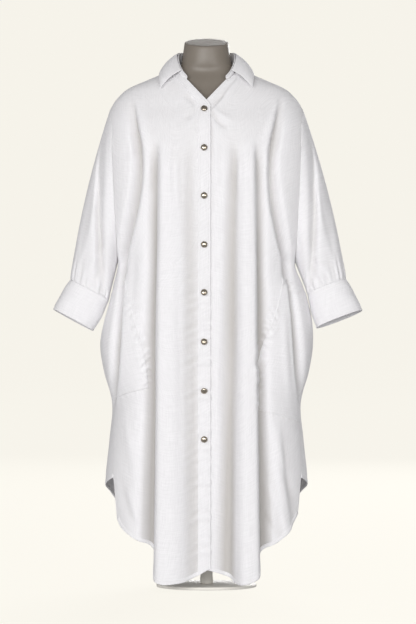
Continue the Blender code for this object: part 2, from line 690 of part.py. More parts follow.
def panel_seams(net, side_columns):
    """Where a panel is sewn on: its shoulder, its armholes and its side seams, each with its plane."""
    seams = []
    for col, side in side_columns:
        rows = np.nonzero(net[:, col, 2] > UNDERARM_Z + 0.001)[0]
        seams.append(((rows, np.full(len(rows), col)), armhole_plane(side)))
        for row in range(len(rows), net.shape[0]):
            z = net[row, col, 2]
            section = section_at(z)
            tangent = side_tangent(section, side_place(section, z, side, "front"), side)
            where = (np.array([row]), np.array([col]))
            seams.append((where, (tangent[0], tangent[1], 0.0)))
    shoulder = np.nonzero(np.abs(net[0, :, 0]) >= NECK_POINT_X - 0.001)[0]
    seams.append(((np.zeros(len(shoulder), int), shoulder), (0.0, 1.0, 0.0)))
    return seams


def add_fronts(collection):
    """Both front panels, with the button band and the pockets that lie on them."""
    right = front_net(-1)
    left = front_net(1)
    right_seams = panel_seams(right, [(0, -1)])
    left_seams = panel_seams(left, [(left.shape[1] - 1, 1)])
    add_cloth("front_right", right, collection, seams=right_seams, rising=True)
    add_cloth("front_left", left, collection, seams=left_seams)
    cells = POCKET_CELLS + 1
    add_pocket("pocket_right", right, slice(0, cells), right_seams, collection)
    add_pocket("pocket_left", left, slice(left.shape[1] - cells, None), left_seams, collection)
    band = right[:, -(PLACKET_CELLS + 1):]
    normals = net_normals(right)[:, -(PLACKET_CELLS + 1):]
    lift = np.full((band.shape[0], 1, 1), LIFT)
    lift[:2] = 2 * LIFT  # the cloth bends more sharply where it meets the neck seam
    band_mesh = cloth_mesh(band + normals * (lift + CLOTH), band + normals * lift, rising=True)
    add_object("button_band", band_mesh, "linen", collection)
    return band


def add_pocket(name, panel, columns, seams, collection):
    """A patch pocket: the front's own points between mouth and bottom, moved out."""
    first = TOP_ROWS + UNDERARM_ROWS
    rows = slice(first, first + POCKET_ROWS + 1)
    normals = net_normals(panel)
    for where, plane in seams:
        mitred(normals, where, plane)
    outer = panel[rows, columns] + normals[rows, columns] * (CLOTH + LIFT)
    inner = panel[rows, columns] + normals[rows, columns] * LIFT
    rising = columns.start == 0
    add_object(name, cloth_mesh(outer, inner, rising=rising), "linen", collection)


def edge_point(side, face, z):
    """The body's edge at the armhole, as y at height z."""
    section = section_at(z)
    place = side_place(section, z, side, face)
    _, y, _ = read_section(section, place)
    return y


def sleeve_ring(side, share):
    """A point of the armhole: share 0 is the shoulder tip, 0.5 the underarm, on to 1 up the back."""
    down = 1 - abs(2 * share - 1)
    z = TIP_Z - (TIP_Z - UNDERARM_Z) * (1 - math.cos(math.pi * down)) / 2
    face = "front" if share <= 0.5 else "back"
    y = edge_point(side, face, max(z, UNDERARM_Z))
    return np.array((side * (armhole_x(z) + SEAM), y, z))


def cuff_axes(cuff):
    """Unit vectors of a cuff: along its flat side, and down its length."""
    middle = np.array((cuff.seam_x, cuff.seam_y, cuff.seam_z))
    low = np.array((cuff.open_x, cuff.open_y, cuff.open_z))
    length = np.linalg.norm(low - middle)
    down = (low - middle) / length
    flat = np.cross(down, (0.0, 1.0, 0.0))
    flat = flat / np.linalg.norm(flat)
    if flat[0] * cuff.side > 0:
        flat = -flat
    return middle, down, flat, length


def cuff_ring(cuff, share, travel, grow=0.0):
    """A point of the cuff: share goes round as in sleeve_ring, travel from seam to opening."""
    middle, down, flat, length = cuff_axes(cuff)
    half = cuff.seam_half + (cuff.open_half - cuff.seam_half) * travel + grow
    turn = 2 * math.pi * share
    cosine, sine = math.cos(turn), math.sin(turn)
    power = 2 / 2.3
    across = half * math.copysign(abs(cosine) ** power, cosine)
    deep = (cuff.depth + grow) * math.copysign(abs(sine) ** power, sine)
    side_on = np.cross(flat, down)
    side_on = side_on if side_on[1] > 0 else -side_on
    return middle + down * length * travel - flat * across - side_on * deep


def sleeve_fold_push(side, point):
    """How far a sleeve's folds sink in at a point."""
    x, _, z = point
    push = 0.0
    for fold in SLEEVE_FOLDS:
        down = (fold.z_top - z) / (fold.z_top - fold.z_low)
        if not 0 < down < 1:
            continue
        centre = curve_through((0, 0.5, 1), (fold.x_top, fold.x_mid, fold.x_low), down)
        away = (side * x - float(centre)) / fold.width
        push += fold.depth * math.sin(math.pi * down) ** 0.5 * math.exp(-away * away)
    return push


def add_sleeve(cuff, name, collection):
    """A sleeve, lofted from the armhole to just above the cuff."""
    count = 2 * SLEEVE_SIDE_CELLS
    shares = [i / count for i in range(count)]
    _, down, _, length = cuff_axes(cuff)
    rows = []
    for travel in np.linspace(0, 1, SLEEVE_ROWS + 1):
        row = []
        for share in shares:
            start = sleeve_ring(cuff.side, share)
            stop = cuff_ring(cuff, share, -SEAM / length)
            point = start + (stop - start) * travel
            round_share = math.cos(2 * math.pi * share)
            puff = SLEEVE_PUFF * math.sin(math.pi * travel) ** 0.8
            point[0] += cuff.side * puff * max(round_share, 0.0)
            face = -math.sin(2 * math.pi * share)
            push = sleeve_fold_push(cuff.side, point) * smoothstep(0, 0.12, travel * (1 - travel) * 4)
            point[1] += puff * 0.6 * face
            point[1] -= np.sign(face) * float(push) * min(1.0, abs(face) * 1.6)
            row.append(point)
        rows.append(row[::-1] if cuff.side > 0 else row)
    net = np.array(rows)
    ends = np.arange(net.shape[1])
    seams = [
        ((np.zeros(len(ends), int), ends), armhole_plane(cuff.side)),
        ((np.full(len(ends), SLEEVE_ROWS), ends), down),
    ]
    add_cloth(name, net, collection, seams=seams, closed=True)


def add_cuff(cuff, name, collection):
    """A cuff, a plain band round the sleeve's end, open below."""
    count = 2 * SLEEVE_SIDE_CELLS
    rows = []
    for travel in np.linspace(0, 1, 4):
        grow = CUFF_CLOTH - CLOTH + 0.002 * math.sin(math.pi * travel)
        row = [cuff_ring(cuff, i / count, travel, grow) for i in range(count)]
        rows.append(row[::-1] if cuff.side > 0 else row)
    net = np.array(rows)
    _, down, _, _ = cuff_axes(cuff)
    ends = np.arange(net.shape[1])
    seams = [((np.zeros(len(ends), int), ends), down)]
    add_cloth(name, net, collection, thickness=CUFF_CLOTH, seams=seams, closed=True)


def collar_point(place, names):
    """A point of one of the collar's lines; place runs from -1, the right end, to 1, the left end."""
    stations = column(COLLAR_ROWS, "place")
    x, y, z = (float(curve_through(stations, column(COLLAR_ROWS, n), abs(place))) for n in names)
    return np.array((math.copysign(1.0, place) * x, y, z))


def neck_seam_point(place):
    """A point of the neck seam on the body; place as in collar_point."""
    reach = abs(place)
    front_start = 0.62
    if reach <= front_start:
        turn = reach / front_start * math.pi / 2
        x, face = NECK_POINT_X * math.sin(turn), "back"
    else:
        share = (reach - front_start) / (1 - front_start)
        x, face = NECK_POINT_X + (COLLAR_END_X - NECK_POINT_X) * share, "front"
    z = seam_top_z(x, face)
    angle = float(angle_at(x, z))
    if face == "back":
        angle = math.pi - angle
    _, y, _ = read_section(section_at(z), index_of(angle))
    return np.array((math.copysign(1.0, place) * x, y, z))


def add_collar(collection):
    """The collar stand, sewn to the neck seam, and the collar that folds down from it."""
    stand_names = ("stand_x", "stand_y", "stand_z")
    edge_names = ("edge_x", "edge_y", "edge_z")
    places = np.linspace(-1, 1, COLLAR_CELLS + 1)
    rows = []
    for rise in (0.0, 0.35, 0.7, 1.0):
        row = []
        for place in places:
            low = neck_seam_point(place)
            low[2] += SEAM + CLOTH / 2
            high = collar_point(place, stand_names)
            row.append(low + (high - low) * rise)
        rows.append(row)
    add_cloth("collar_stand", np.array(rows)[::-1, ::-1], collection, thickness=CUFF_CLOTH)
    rows = []
    for reach in np.linspace(0, 1, 7):
        row = []
        for place in places * FALL_END:
            top = collar_point(place, stand_names)
            low = collar_point(place / FALL_END, edge_names)
            out = np.array((low[0] - top[0], low[1] - top[1], 0.0))
            out = out / (np.linalg.norm(out) + 1e-9)
            top = top + out * CUFF_CLOTH + np.array((0.0, 0.0, CUFF_CLOTH))
            swell = 0.007 * math.sin(math.pi * reach) ** 0.8
            row.append(top + (low - top) * reach + out * swell * 0.6 + np.array((0.0, 0.0, swell * 0.5)))
        rows.append(row)
    add_cloth("collar", np.array(rows)[:, ::-1], collection, thickness=CUFF_CLOTH)


def add_buttons(band, collection):
    """Domed shank buttons on the button band."""
    middle = (band[:, 1] + band[:, 2]) / 2
    heights = middle[::-1, 2]
    rim = BUTTON_RADIUS
    tall = BUTTON_HEIGHT
    profile = (
        (0.0, tall),
        (0.45 * rim, 0.93 * tall),
        (0.80 * rim, 0.70 * tall),
        (rim, 0.36 * tall),
        (0.86 * rim, 0.24 * tall),
        (0.36 * rim, 0.20 * tall),
        (0.36 * rim, 0.0),
        (0.0, 0.0),
    )
    for number, z in enumerate(BUTTON_HEIGHTS, start=1):
        y = float(np.interp(z, heights, middle[::-1, 1]))
        low = float(np.interp(z - 0.01, heights, middle[::-1, 1]))
        high = float(np.interp(z + 0.01, heights, middle[::-1, 1]))
        outward = Vector((0.0, -0.02, high - low)).normalized()
        data = bpy.data.meshes.new(f"button_{number}")
        count = len(profile)
        data.from_pydata([(r, 0.0, h) for r, h in profile], [(i, i + 1) for i in range(count - 1)], [])
        data.materials.append(material("button"))
        button = bpy.data.objects.new(f"button_{number}", data)
        collection.objects.link(button)
        turn = button.modifiers.new("turn", "SCREW")
        turn.steps = turn.render_steps = 10
        turn.use_merge_vertices = True
        turn.merge_threshold = 0.00001
        clearance = CLOTH + 2 * LIFT
        button.rotation_mode = "QUATERNION"
        button.rotation_quaternion = outward.to_track_quat("Z", "Y")
        button.location = Vector((BUTTON_X, y, z)) + outward * clearance


def form_ring(row, count):
    """One ring of the dress form, cut slanting at the top of the neck."""
    ring = []
    for i in range(count):
        turn = 2 * math.pi * i / count
        x, cosine = row.half_width * math.sin(turn), math.cos(turn)
        y = -(row.front if cosine > 0 else row.back) * cosine
        z = row.z
        if row.z == NECK_TOP_Z:
            z += NECK_CUT_SLOPE * y
        ring.append((x, y, z))
    return ring


def add_form(collection):
    """The limbless dress form with its pole and foot."""
    mesh = bmesh.new()
    rings = [[mesh.verts.new(p) for p in form_ring(row, 24)] for row in FORM_SECTIONS]
    for low, high in zip(rings, rings[1:]):
        for i in range(len(low)):
            j = (i + 1) % len(low)
            mesh.faces.new((low[i], low[j], high[j], high[i]))
    mesh.faces.new(rings[0][::-1])
    mesh.faces.new(rings[-1])
    bmesh.ops.recalc_face_normals(mesh, faces=mesh.faces)
    add_object("form_torso", mesh, "form", collection)
    add_cylinder("form_pole", POLE_RADIUS, FOOT_HEIGHT + SEAM, TORSO_BOTTOM - SEAM, 16, collection)
    add_cylinder("form_foot", FOOT_RADIUS, 0.0, FOOT_HEIGHT, 48, collection)


def add_cylinder(name, radius, low, high, sides, collection):
    """An upright round bar or plate."""
    mesh = bmesh.new()
    bmesh.ops.create_cone(
        mesh, cap_ends=True, segments=sides, radius1=radius, radius2=radius, depth=high - low
    )
    bmesh.ops.translate(mesh, verts=mesh.verts, vec=(0.0, 0.0, (low + high) / 2))
    add_object(name, mesh, "foot", collection, smooth=False)


def main():
    """Clears the scene and builds the shirt and its form."""
    for old in list(bpy.data.objects):
        bpy.data.objects.remove(old)
    collection = bpy.data.collections.new("linen_shirt_on_form")
    bpy.context.scene.collection.children.link(collection)
    band = add_fronts(collection)
    back = back_net()
    seams = panel_seams(back, [(0, 1), (BACK_CELLS, -1)])
    add_cloth("back", back, collection, seams=seams)
    for cuff, name in zip(CUFFS, ("right", "left")):
        add_sleeve(cuff, f"sleeve_{name}", collection)
        add_cuff(cuff, f"cuff_{name}", collection)
    add_collar(collection)
    add_buttons(band, collection)
    add_form(collection)


main()
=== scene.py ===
"""Looks of a long white linen shirt with wide sleeves, worn by a limbless dress form.

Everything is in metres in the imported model's own axes: +Z up, the front faces -Y, +X on the viewer's
right. Pieces are named for the wearer's sides, so the right front lies at -X. The trunk of the shirt is
one surface of folded level sections. Each panel takes its points from it, and creases move them in or out.
"""

import logging
import math
from dataclasses import dataclass, field
from enum import Enum
from typing import Callable, NamedTuple, Optional, Sequence

import bpy
import numpy as np
from bpy.types import Material, Node, NodeOutputs, NodeSocket, NodeTree, Object
from mathutils import Matrix, Vector
from mathutils.bvhtree import BVHTree


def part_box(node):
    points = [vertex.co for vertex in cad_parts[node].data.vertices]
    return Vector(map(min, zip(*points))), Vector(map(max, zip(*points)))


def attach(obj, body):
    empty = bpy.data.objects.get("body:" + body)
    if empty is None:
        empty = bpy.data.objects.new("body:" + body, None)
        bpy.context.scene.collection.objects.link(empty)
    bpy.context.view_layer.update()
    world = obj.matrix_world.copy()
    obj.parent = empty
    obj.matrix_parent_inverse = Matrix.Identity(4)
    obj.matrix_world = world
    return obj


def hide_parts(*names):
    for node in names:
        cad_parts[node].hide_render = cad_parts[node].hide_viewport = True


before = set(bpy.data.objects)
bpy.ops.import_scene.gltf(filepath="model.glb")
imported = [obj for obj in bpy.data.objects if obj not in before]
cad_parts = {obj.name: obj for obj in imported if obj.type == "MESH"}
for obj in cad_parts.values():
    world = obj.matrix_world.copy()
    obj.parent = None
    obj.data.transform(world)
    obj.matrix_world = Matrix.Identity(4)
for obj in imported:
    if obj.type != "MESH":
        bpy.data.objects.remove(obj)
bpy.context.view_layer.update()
log = logging.getLogger("linen_shirt")

BODY = "root"

# Driving sizes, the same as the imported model's
LINEN = 0.0008  # one layer of linen as it shows at an edge
STIFF_LINEN = 0.0018  # a cuff or collar is two layers with a stiffener
SEAM = 0.0003  # half hidden air between two pieces that are sewn together
LAP_DEPTH = 0.0030
PLACKET_WIDTH = 0.0285
PLACKET_EDGE = 0.0094
PLACKET_TOP_WIDTH = 0.020
NECK_POINT = (0.072, 1.195)
COLLAR_END = (0.045, 1.163)
BACK_NECK_Z = 1.205
OPENING_Z = 1.101
TIP = (0.2205, 1.098)
UNDERARM = (0.2035, 0.747)
BUTTON_X = -0.0052
BUTTON_RADIUS = 0.0075
BUTTON_HEIGHT = 0.0060
BUTTON_COUNT = 8
FOOT_RADIUS = 0.115
FOOT_HEIGHT = 0.007
POLE_RADIUS = 0.014
TORSO_BOTTOM = 0.560
NECK_TOP_Z = 1.251
NECK_CUT_SLOPE = math.tan(math.radians(15.0))
SHOULDER_FADE = (0.97, 1.08)  # between these heights the columns start to hang from the shoulder seam
ROUND_NECK_Z = 1.13  # below this the form's sections are joined by a curve, above it by straight lines
THREAD_LIFT = 0.0002  # air under a row of stitches or a patch
PATCH_RISE = 0.0013  # how far a patch's or band's outer face stands off the front
SOFT_RIM = 0.0005  # how much a stiff piece thins towards its edges
BAND_REPEAT = 0.314  # a band texture of scale 1 repeats at this distance


def rows_of(kind: type, rows: tuple, *first: object) -> tuple:
    """A table's rows as named tuples, each after the same first values."""
    return tuple(kind(*first, *row) for row in rows)


class BodySection(NamedTuple):
    """One level of the trunk's cloth without folds, as a flattened oval."""

    z: float
    half_width: float
    left_extra: float
    front: float
    back: float
    squareness: float


BODY_SECTIONS = rows_of(BodySection, (
    (0.0, 0.222, 0.0, 0.142, 0.14, 2.4),
    (0.14, 0.228, 0.0, 0.139, 0.137, 2.4),
    (0.245, 0.232, 0.0, 0.137, 0.135, 2.4),
    (0.34, 0.223, 0.0, 0.135, 0.132, 2.4),
    (0.424, 0.217, 0.0, 0.134, 0.13, 2.4),
    (0.5, 0.236, 0.0, 0.135, 0.13, 2.4),
    (0.56, 0.243, 0.001, 0.135, 0.13, 2.4),
    (0.61, 0.234, 0.0075, 0.135, 0.128, 2.4),
    (0.655, 0.2215, 0.0105, 0.134, 0.125, 2.4),
    (0.7, 0.2125, 0.006, 0.134, 0.122, 2.4),
    (0.725, 0.2062, 0.001, 0.134, 0.121, 2.4),
    (0.735, 0.2042, 0.0, 0.134, 0.12, 2.4),
    (0.747, 0.2038, 0.0, 0.134, 0.12, 2.4),
    (0.76, 0.2067, 0.0, 0.134, 0.119, 2.4),
    (0.79, 0.214, 0.0, 0.134, 0.118, 2.4),
    (0.85, 0.228, 0.0, 0.134, 0.116, 2.4),
    (0.92, 0.236, 0.0, 0.134, 0.115, 2.4),
    (0.98, 0.239, 0.0, 0.133, 0.115, 2.3),
    (1.03, 0.237, 0.0, 0.127, 0.115, 2.2),
    (1.065, 0.232, 0.0, 0.117, 0.113, 2.1),
    (1.098, 0.2205, 0.0, 0.101, 0.108, 2.0),
    (1.124, 0.2035, 0.0, 0.089, 0.102, 2.0),
    (1.147, 0.176, 0.0, 0.077, 0.095, 2.0),
    (1.162, 0.142, 0.0, 0.068, 0.089, 2.0),
    (1.177, 0.107, 0.0, 0.056, 0.082, 2.0),
    (1.195, 0.072, 0.0, 0.036, 0.075, 2.0),
    (1.206, 0.056, 0.0, 0.024, 0.071, 2.0),
))


class Face(Enum):
    """Which way a stretch of cloth looks."""

    FRONT = "front"
    BACK = "back"


class Side(Enum):
    """The wearer's sides, each with the sign of X that it lies at."""

    RIGHT = -1
    LEFT = 1


class Fold(NamedTuple):
    """A long fold. x is where it runs at its top, half way and at its foot; inner and outer are its half
    widths towards the middle and away from it, and a higher power makes that side steeper. It grows from
    z_top to z_full, and dies away over the length fade below z_low, where 0 lets it run into the hem. A
    negative depth sinks in."""

    face: Face
    x_top: float
    x_mid: float
    x_low: float
    z_top: float
    z_full: float
    z_low: float
    inner: float
    outer: float
    inner_power: float
    outer_power: float
    depth_top: float
    depth_low: float
    fade: float


FOLDS = rows_of(Fold, (
    (-0.088, -0.087, -0.086, 1.035, 0.96, 0.0, 0.05, 0.034, 2.2, 5.0, 0.01, 0.04, 0.0),
    (0.094, 0.094, 0.094, 1.035, 0.96, 0.0, 0.032, 0.028, 3.4, 5.0, 0.01, 0.042, 0.0),
    (-0.117, -0.123, -0.13, 1.03, 0.93, 0.0, 0.012, 0.026, 2.6, 2.2, -0.01, -0.028, 0.0),
    (0.121, 0.124, 0.129, 1.03, 0.93, 0.0, 0.014, 0.02, 2.6, 2.6, -0.008, -0.018, 0.0),
    (-0.038, -0.034, -0.03, 1.04, 0.93, 0.0, 0.016, 0.018, 2.6, 2.6, -0.003, -0.006, 0.0),
    (0.064, 0.057, 0.053, 1.04, 0.93, 0.0, 0.03, 0.012, 2.2, 2.6, -0.008, -0.022, 0.0),
    (-0.172, -0.157, -0.193, 1.13, 1.05, 0.77, 0.015, 0.015, 2.6, 2.6, -0.014, -0.03, 0.07),
    (0.172, 0.151, 0.186, 1.13, 1.05, 0.75, 0.015, 0.015, 2.6, 2.6, -0.014, -0.028, 0.07),
    (-0.19, -0.202, -0.212, 0.75, 0.66, 0.46, 0.012, 0.016, 2.6, 2.6, -0.026, -0.012, 0.06),
    (0.186, 0.204, 0.214, 0.73, 0.64, 0.46, 0.012, 0.018, 2.6, 2.6, -0.02, -0.012, 0.06),
    (0.158, 0.168, 0.186, 0.4, 0.3, 0.1, 0.018, 0.018, 2.6, 2.6, 0.006, 0.008, 0.08),
), Face.FRONT) + rows_of(Fold, (
    (-0.15, -0.16, -0.165, 1.0, 0.8, 0.0, 0.03, 0.03, 2.6, 2.6, 0.006, 0.022, 0.0),
    (-0.098, -0.108, -0.112, 0.98, 0.8, 0.0, 0.016, 0.016, 2.6, 2.6, -0.006, -0.026, 0.0),
    (-0.045, -0.052, -0.055, 1.02, 0.8, 0.0, 0.03, 0.03, 2.6, 2.6, 0.008, 0.026, 0.0),
    (0.004, 0.006, 0.006, 1.0, 0.8, 0.0, 0.016, 0.016, 2.6, 2.6, -0.006, -0.022, 0.0),
    (0.052, 0.062, 0.066, 1.02, 0.8, 0.0, 0.032, 0.03, 2.6, 2.6, 0.008, 0.026, 0.0),
    (0.104, 0.116, 0.122, 0.98, 0.8, 0.0, 0.016, 0.016, 2.6, 2.6, -0.006, -0.026, 0.0),
    (0.15, 0.166, 0.172, 1.0, 0.8, 0.0, 0.026, 0.03, 2.6, 2.6, 0.006, 0.02, 0.0),
), Face.BACK)
FOLD_NARROWING = 0.45  # share of its width that a fold loses at its top


class Hem(NamedTuple):
    """Height of the hem against the share of the way round from the middle to the side seam."""

    share: float
    right_front: float
    left_front: float
    back: float


HEM = rows_of(Hem, (
    (0.0, 0.053, 0.053, 0.04),
    (0.1, 0.036, 0.045, 0.044),
    (0.2, 0.024, 0.035, 0.055),
    (0.3, 0.019, 0.02, 0.075),
    (0.42, 0.019, 0.018, 0.112),
    (0.52, 0.034, 0.032, 0.15),
    (0.6, 0.06, 0.052, 0.18),
    (0.7, 0.101, 0.092, 0.217),
    (0.8, 0.112, 0.107, 0.232),
    (0.88, 0.125, 0.127, 0.24),
    (0.94, 0.137, 0.146, 0.247),
    (0.98, 0.15, 0.162, 0.252),
    (1.0, 0.162, 0.172, 0.254),
))


class SideSeam(NamedTuple):
    """Angle round the body of the side seam, where 0 is the front and 90 the side."""

    z: float
    right_angle: float
    left_angle: float


SIDE_SEAM = rows_of(SideSeam, (
    (0.0, 62.0, 64.5),
    (0.2, 61.4, 63.8),
    (0.24, 63.1, 65.5),
    (0.254, 64.5, 66.8),
    (0.33, 71.8, 73.2),
    (0.424, 79.0, 79.6),
    (0.51, 83.8, 84.0),
    (0.6, 87.0, 87.0),
    (0.747, 90.0, 90.0),
))


class PocketEdge(NamedTuple):
    """The patch pocket's inner edge; above and below the pocket it is only a line of the net."""

    z: float
    right_x: float
    left_x: float


POCKET_EDGE = rows_of(PocketEdge, (
    (0.0, -0.152, 0.152),
    (0.25, -0.146, 0.14),
    (0.37, -0.14, 0.122),
    (0.45, -0.137, 0.116),
    (0.52, -0.141, 0.12),
    (0.57, -0.151, 0.134),
    (0.63, -0.168, 0.156),
    (0.7, -0.184, 0.172),
    (0.85, -0.16, 0.155),
    (1.0, -0.13, 0.13),
    (1.15, -0.125, 0.125),
))


class PocketHeight(NamedTuple):
    """Heights of a pocket's mouth and bottom at its inner edge and at the side seam."""

    mouth_inner: float
    mouth_side: float
    bottom_inner: float
    bottom_side: float


POCKET_HEIGHT = {
    Side.RIGHT: PocketHeight(0.704, 0.671, 0.459, 0.427),
    Side.LEFT: PocketHeight(0.710, 0.675, 0.410, 0.380),
}
MIDDLE_LINES = (0.700, 0.430)  # the same two lines in the middle of the garment


class CollarRow(NamedTuple):
    """The stand's top line and the collar's outer line, from the middle of the back to the left end."""

    place: float
    stand_x: float
    stand_y: float
    stand_z: float
    edge_x: float
    edge_y: float
    edge_z: float


COLLAR_ROWS = rows_of(CollarRow, (
    (0.0, 0.0, 0.062, 1.233, 0.0, 0.087, 1.19),
    (0.2, 0.028, 0.056, 1.232, 0.046, 0.083, 1.187),
    (0.38, 0.051, 0.037, 1.229, 0.083, 0.06, 1.182),
    (0.54, 0.064, 0.014, 1.226, 0.103, 0.025, 1.183),
    (0.68, 0.066, -0.011, 1.216, 0.108, -0.012, 1.181),
    (0.82, 0.0625, -0.033, 1.2, 0.109, -0.046, 1.168),
    (0.92, 0.056, -0.05, 1.185, 0.107, -0.068, 1.153),
    (1.0, 0.0455, -0.066, 1.1705, 0.1047, -0.078, 1.142),
))
FALL_END = 0.93  # the collar's fold stops short of the stand's front end


class CuffSize(NamedTuple):
    """A cuff's seam ring and opening ring, as seen from the front: middle, half length and depth."""

    side: Side
    seam_x: float
    seam_z: float
    seam_half: float
    seam_y: float
    open_x: float
    open_z: float
    open_half: float
    open_y: float
    depth: float


CUFFS = (
    CuffSize(Side.RIGHT, -0.2690, 0.6815, 0.0495, -0.010, -0.3060, 0.6130, 0.0515, -0.015, 0.040),
    CuffSize(Side.LEFT, 0.2765, 0.6890, 0.0470, -0.012, 0.3050, 0.6150, 0.0556, -0.022, 0.040),
)
SLEEVE_PUFF = 0.010


class SleeveFold(NamedTuple):
    """A fold down a sleeve's front and back: x at the shoulder, half way and at the cuff."""

    x_top: float
    x_mid: float
    x_low: float
    z_top: float
    z_low: float
    width: float
    depth: float


SLEEVE_FOLDS = rows_of(SleeveFold, (
    (0.236, 0.246, 0.236, 1.09, 0.66, 0.009, 0.016),
    (0.278, 0.282, 0.286, 0.98, 0.7, 0.012, 0.005),
))


class FormSection(NamedTuple):
    """One level of the dress form."""

    z: float
    half_width: float
    front: float
    back: float


FORM_SECTIONS = rows_of(FormSection, (
    (0.56, 0.12, 0.07, 0.075),
    (0.566, 0.148, 0.082, 0.09),
    (0.59, 0.164, 0.09, 0.098),
    (0.64, 0.169, 0.092, 0.1),
    (0.7, 0.158, 0.088, 0.092),
    (0.76, 0.143, 0.083, 0.082),
    (0.82, 0.137, 0.082, 0.077),
    (0.89, 0.147, 0.094, 0.08),
    (0.97, 0.163, 0.105, 0.085),
    (1.02, 0.175, 0.102, 0.088),
    (1.06, 0.184, 0.094, 0.088),
    (1.09, 0.184, 0.083, 0.085),
    (1.114, 0.177, 0.073, 0.081),
    (1.131, 0.163, 0.065, 0.077),
    (1.145, 0.15, 0.059, 0.073),
    (1.1608, 0.138, 0.053, 0.069),
    (1.173, 0.104, 0.045, 0.064),
    (1.185, 0.071, 0.041, 0.06),
    (1.199, 0.0585, 0.0455, 0.057),
    (1.22, 0.0545, 0.0465, 0.0555),
    (NECK_TOP_Z, 0.0505, 0.046, 0.052),
))


class Crease(NamedTuple):
    """A soft ridge (height above 0) or trough from one point of the cloth to another, bowed sideways."""

    face: Face
    x0: float
    z0: float
    x1: float
    z1: float
    width: float
    height: float
    bow: float


class PuckerRun(NamedTuple):
    """Small creases across a seam: the seam's points, their spacing, length, width, height and slant."""

    face: Face
    path: tuple
    spacing: float
    length: float
    width: float
    height: float
    slant: float
    seed: int


CREASES = rows_of(Crease, (
    # the shoulders pull two ridges down to the bust, with a shaded side next to each
    (-0.172, 1.115, -0.135, 1.02, 0.01, 0.003, 0.004),
    (-0.18, 1.108, -0.158, 0.985, 0.009, -0.003, 0.003),
    (0.166, 1.112, 0.13, 1.022, 0.01, 0.003, -0.004),
    (0.18, 1.104, 0.152, 0.99, 0.009, -0.003, -0.003),
    # the first button draws the cloth to itself
    (0.012, 1.086, 0.048, 1.05, 0.0055, -0.0042, 0.005),
    (0.014, 1.096, 0.058, 1.068, 0.006, 0.0024, 0.004),
    (0.013, 1.098, 0.04, 1.126, 0.006, -0.0024, -0.003),
    (-0.024, 1.088, -0.056, 1.072, 0.006, -0.0021, -0.003),
    (-0.024, 1.098, -0.052, 1.124, 0.007, -0.0033, 0.004),
    (-0.026, 1.078, -0.048, 1.048, 0.007, 0.0015, -0.003),
    # soft folds that hang from the bust
    (-0.116, 1.018, -0.122, 0.9, 0.006, -0.0032, 0.0),
    (-0.076, 1.014, -0.072, 0.88, 0.0065, -0.0028, 0.001),
    (-0.06, 1.012, -0.056, 0.86, 0.006, -0.0014, 0.002),
    (0.03, 1.01, 0.024, 0.86, 0.008, -0.0022, -0.002),
    (0.062, 1.018, 0.064, 0.88, 0.007, -0.0026, 0.001),
    (0.082, 1.02, 0.08, 0.9, 0.0055, -0.0016, 0.0),
    (0.116, 1.014, 0.12, 0.9, 0.0055, -0.0026, 0.001),
    (0.14, 0.99, 0.146, 0.88, 0.006, 0.0018, 0.001),
    # long faint ridges down the skirt
    (-0.11, 0.78, -0.108, 0.42, 0.0075, 0.0016, 0.003),
    (-0.066, 0.7, -0.06, 0.26, 0.007, -0.0016, -0.003),
    (-0.036, 0.64, -0.034, 0.3, 0.006, 0.0012, 0.002),
    (0.028, 0.74, 0.026, 0.33, 0.007, 0.0016, 0.002),
    (0.07, 0.8, 0.066, 0.36, 0.006, -0.0014, 0.002),
    (0.12, 0.64, 0.124, 0.3, 0.007, -0.0018, -0.003),
    (0.176, 0.64, 0.19, 0.42, 0.008, 0.0022, 0.003),
    (0.19, 0.62, 0.198, 0.47, 0.007, -0.002, 0.002),
    (-0.16, 0.78, -0.17, 0.62, 0.007, -0.002, 0.002),
    (-0.186, 0.42, -0.15, 0.24, 0.01, 0.0018, 0.006),
    (-0.196, 0.26, -0.152, 0.12, 0.01, -0.002, 0.005),
    (-0.18, 0.23, -0.15, 0.15, 0.008, 0.0016, 0.003),
    (0.132, 0.25, 0.19, 0.11, 0.01, 0.002, -0.005),
    (0.15, 0.32, 0.205, 0.18, 0.009, -0.0018, -0.004),
    (0.126, 0.18, 0.16, 0.115, 0.008, -0.0016, -0.003),
), Face.FRONT) + rows_of(Crease, (
    # the back hangs from the shoulder blades, with a sag under the neck
    (-0.15, 1.11, -0.06, 1.02, 0.012, 0.0024, -0.01),
    (0.154, 1.112, 0.066, 1.014, 0.012, 0.0026, 0.01),
    (-0.12, 1.06, 0.11, 1.052, 0.012, -0.002, -0.012),
    (-0.184, 1.06, -0.16, 0.9, 0.009, -0.0034, 0.004),
    (0.186, 1.056, 0.164, 0.89, 0.009, -0.0032, -0.004),
    (-0.126, 0.96, -0.134, 0.7, 0.009, -0.0026, 0.003),
    (-0.076, 0.94, -0.082, 0.56, 0.008, 0.0022, 0.004),
    (-0.022, 0.9, -0.026, 0.48, 0.008, -0.0022, -0.003),
    (0.032, 0.93, 0.036, 0.52, 0.008, 0.002, 0.002),
    (0.086, 0.95, 0.09, 0.64, 0.008, -0.0022, -0.003),
    (0.14, 0.94, 0.15, 0.6, 0.009, 0.0024, 0.003),
    (0.186, 0.56, 0.176, 0.3, 0.009, -0.002, 0.003),
    (-0.19, 0.58, -0.178, 0.32, 0.009, -0.002, -0.003),
    (-0.14, 0.3, -0.1, 0.12, 0.01, 0.002, 0.005),
    (0.15, 0.28, 0.104, 0.11, 0.01, 0.002, -0.005),
), Face.BACK)

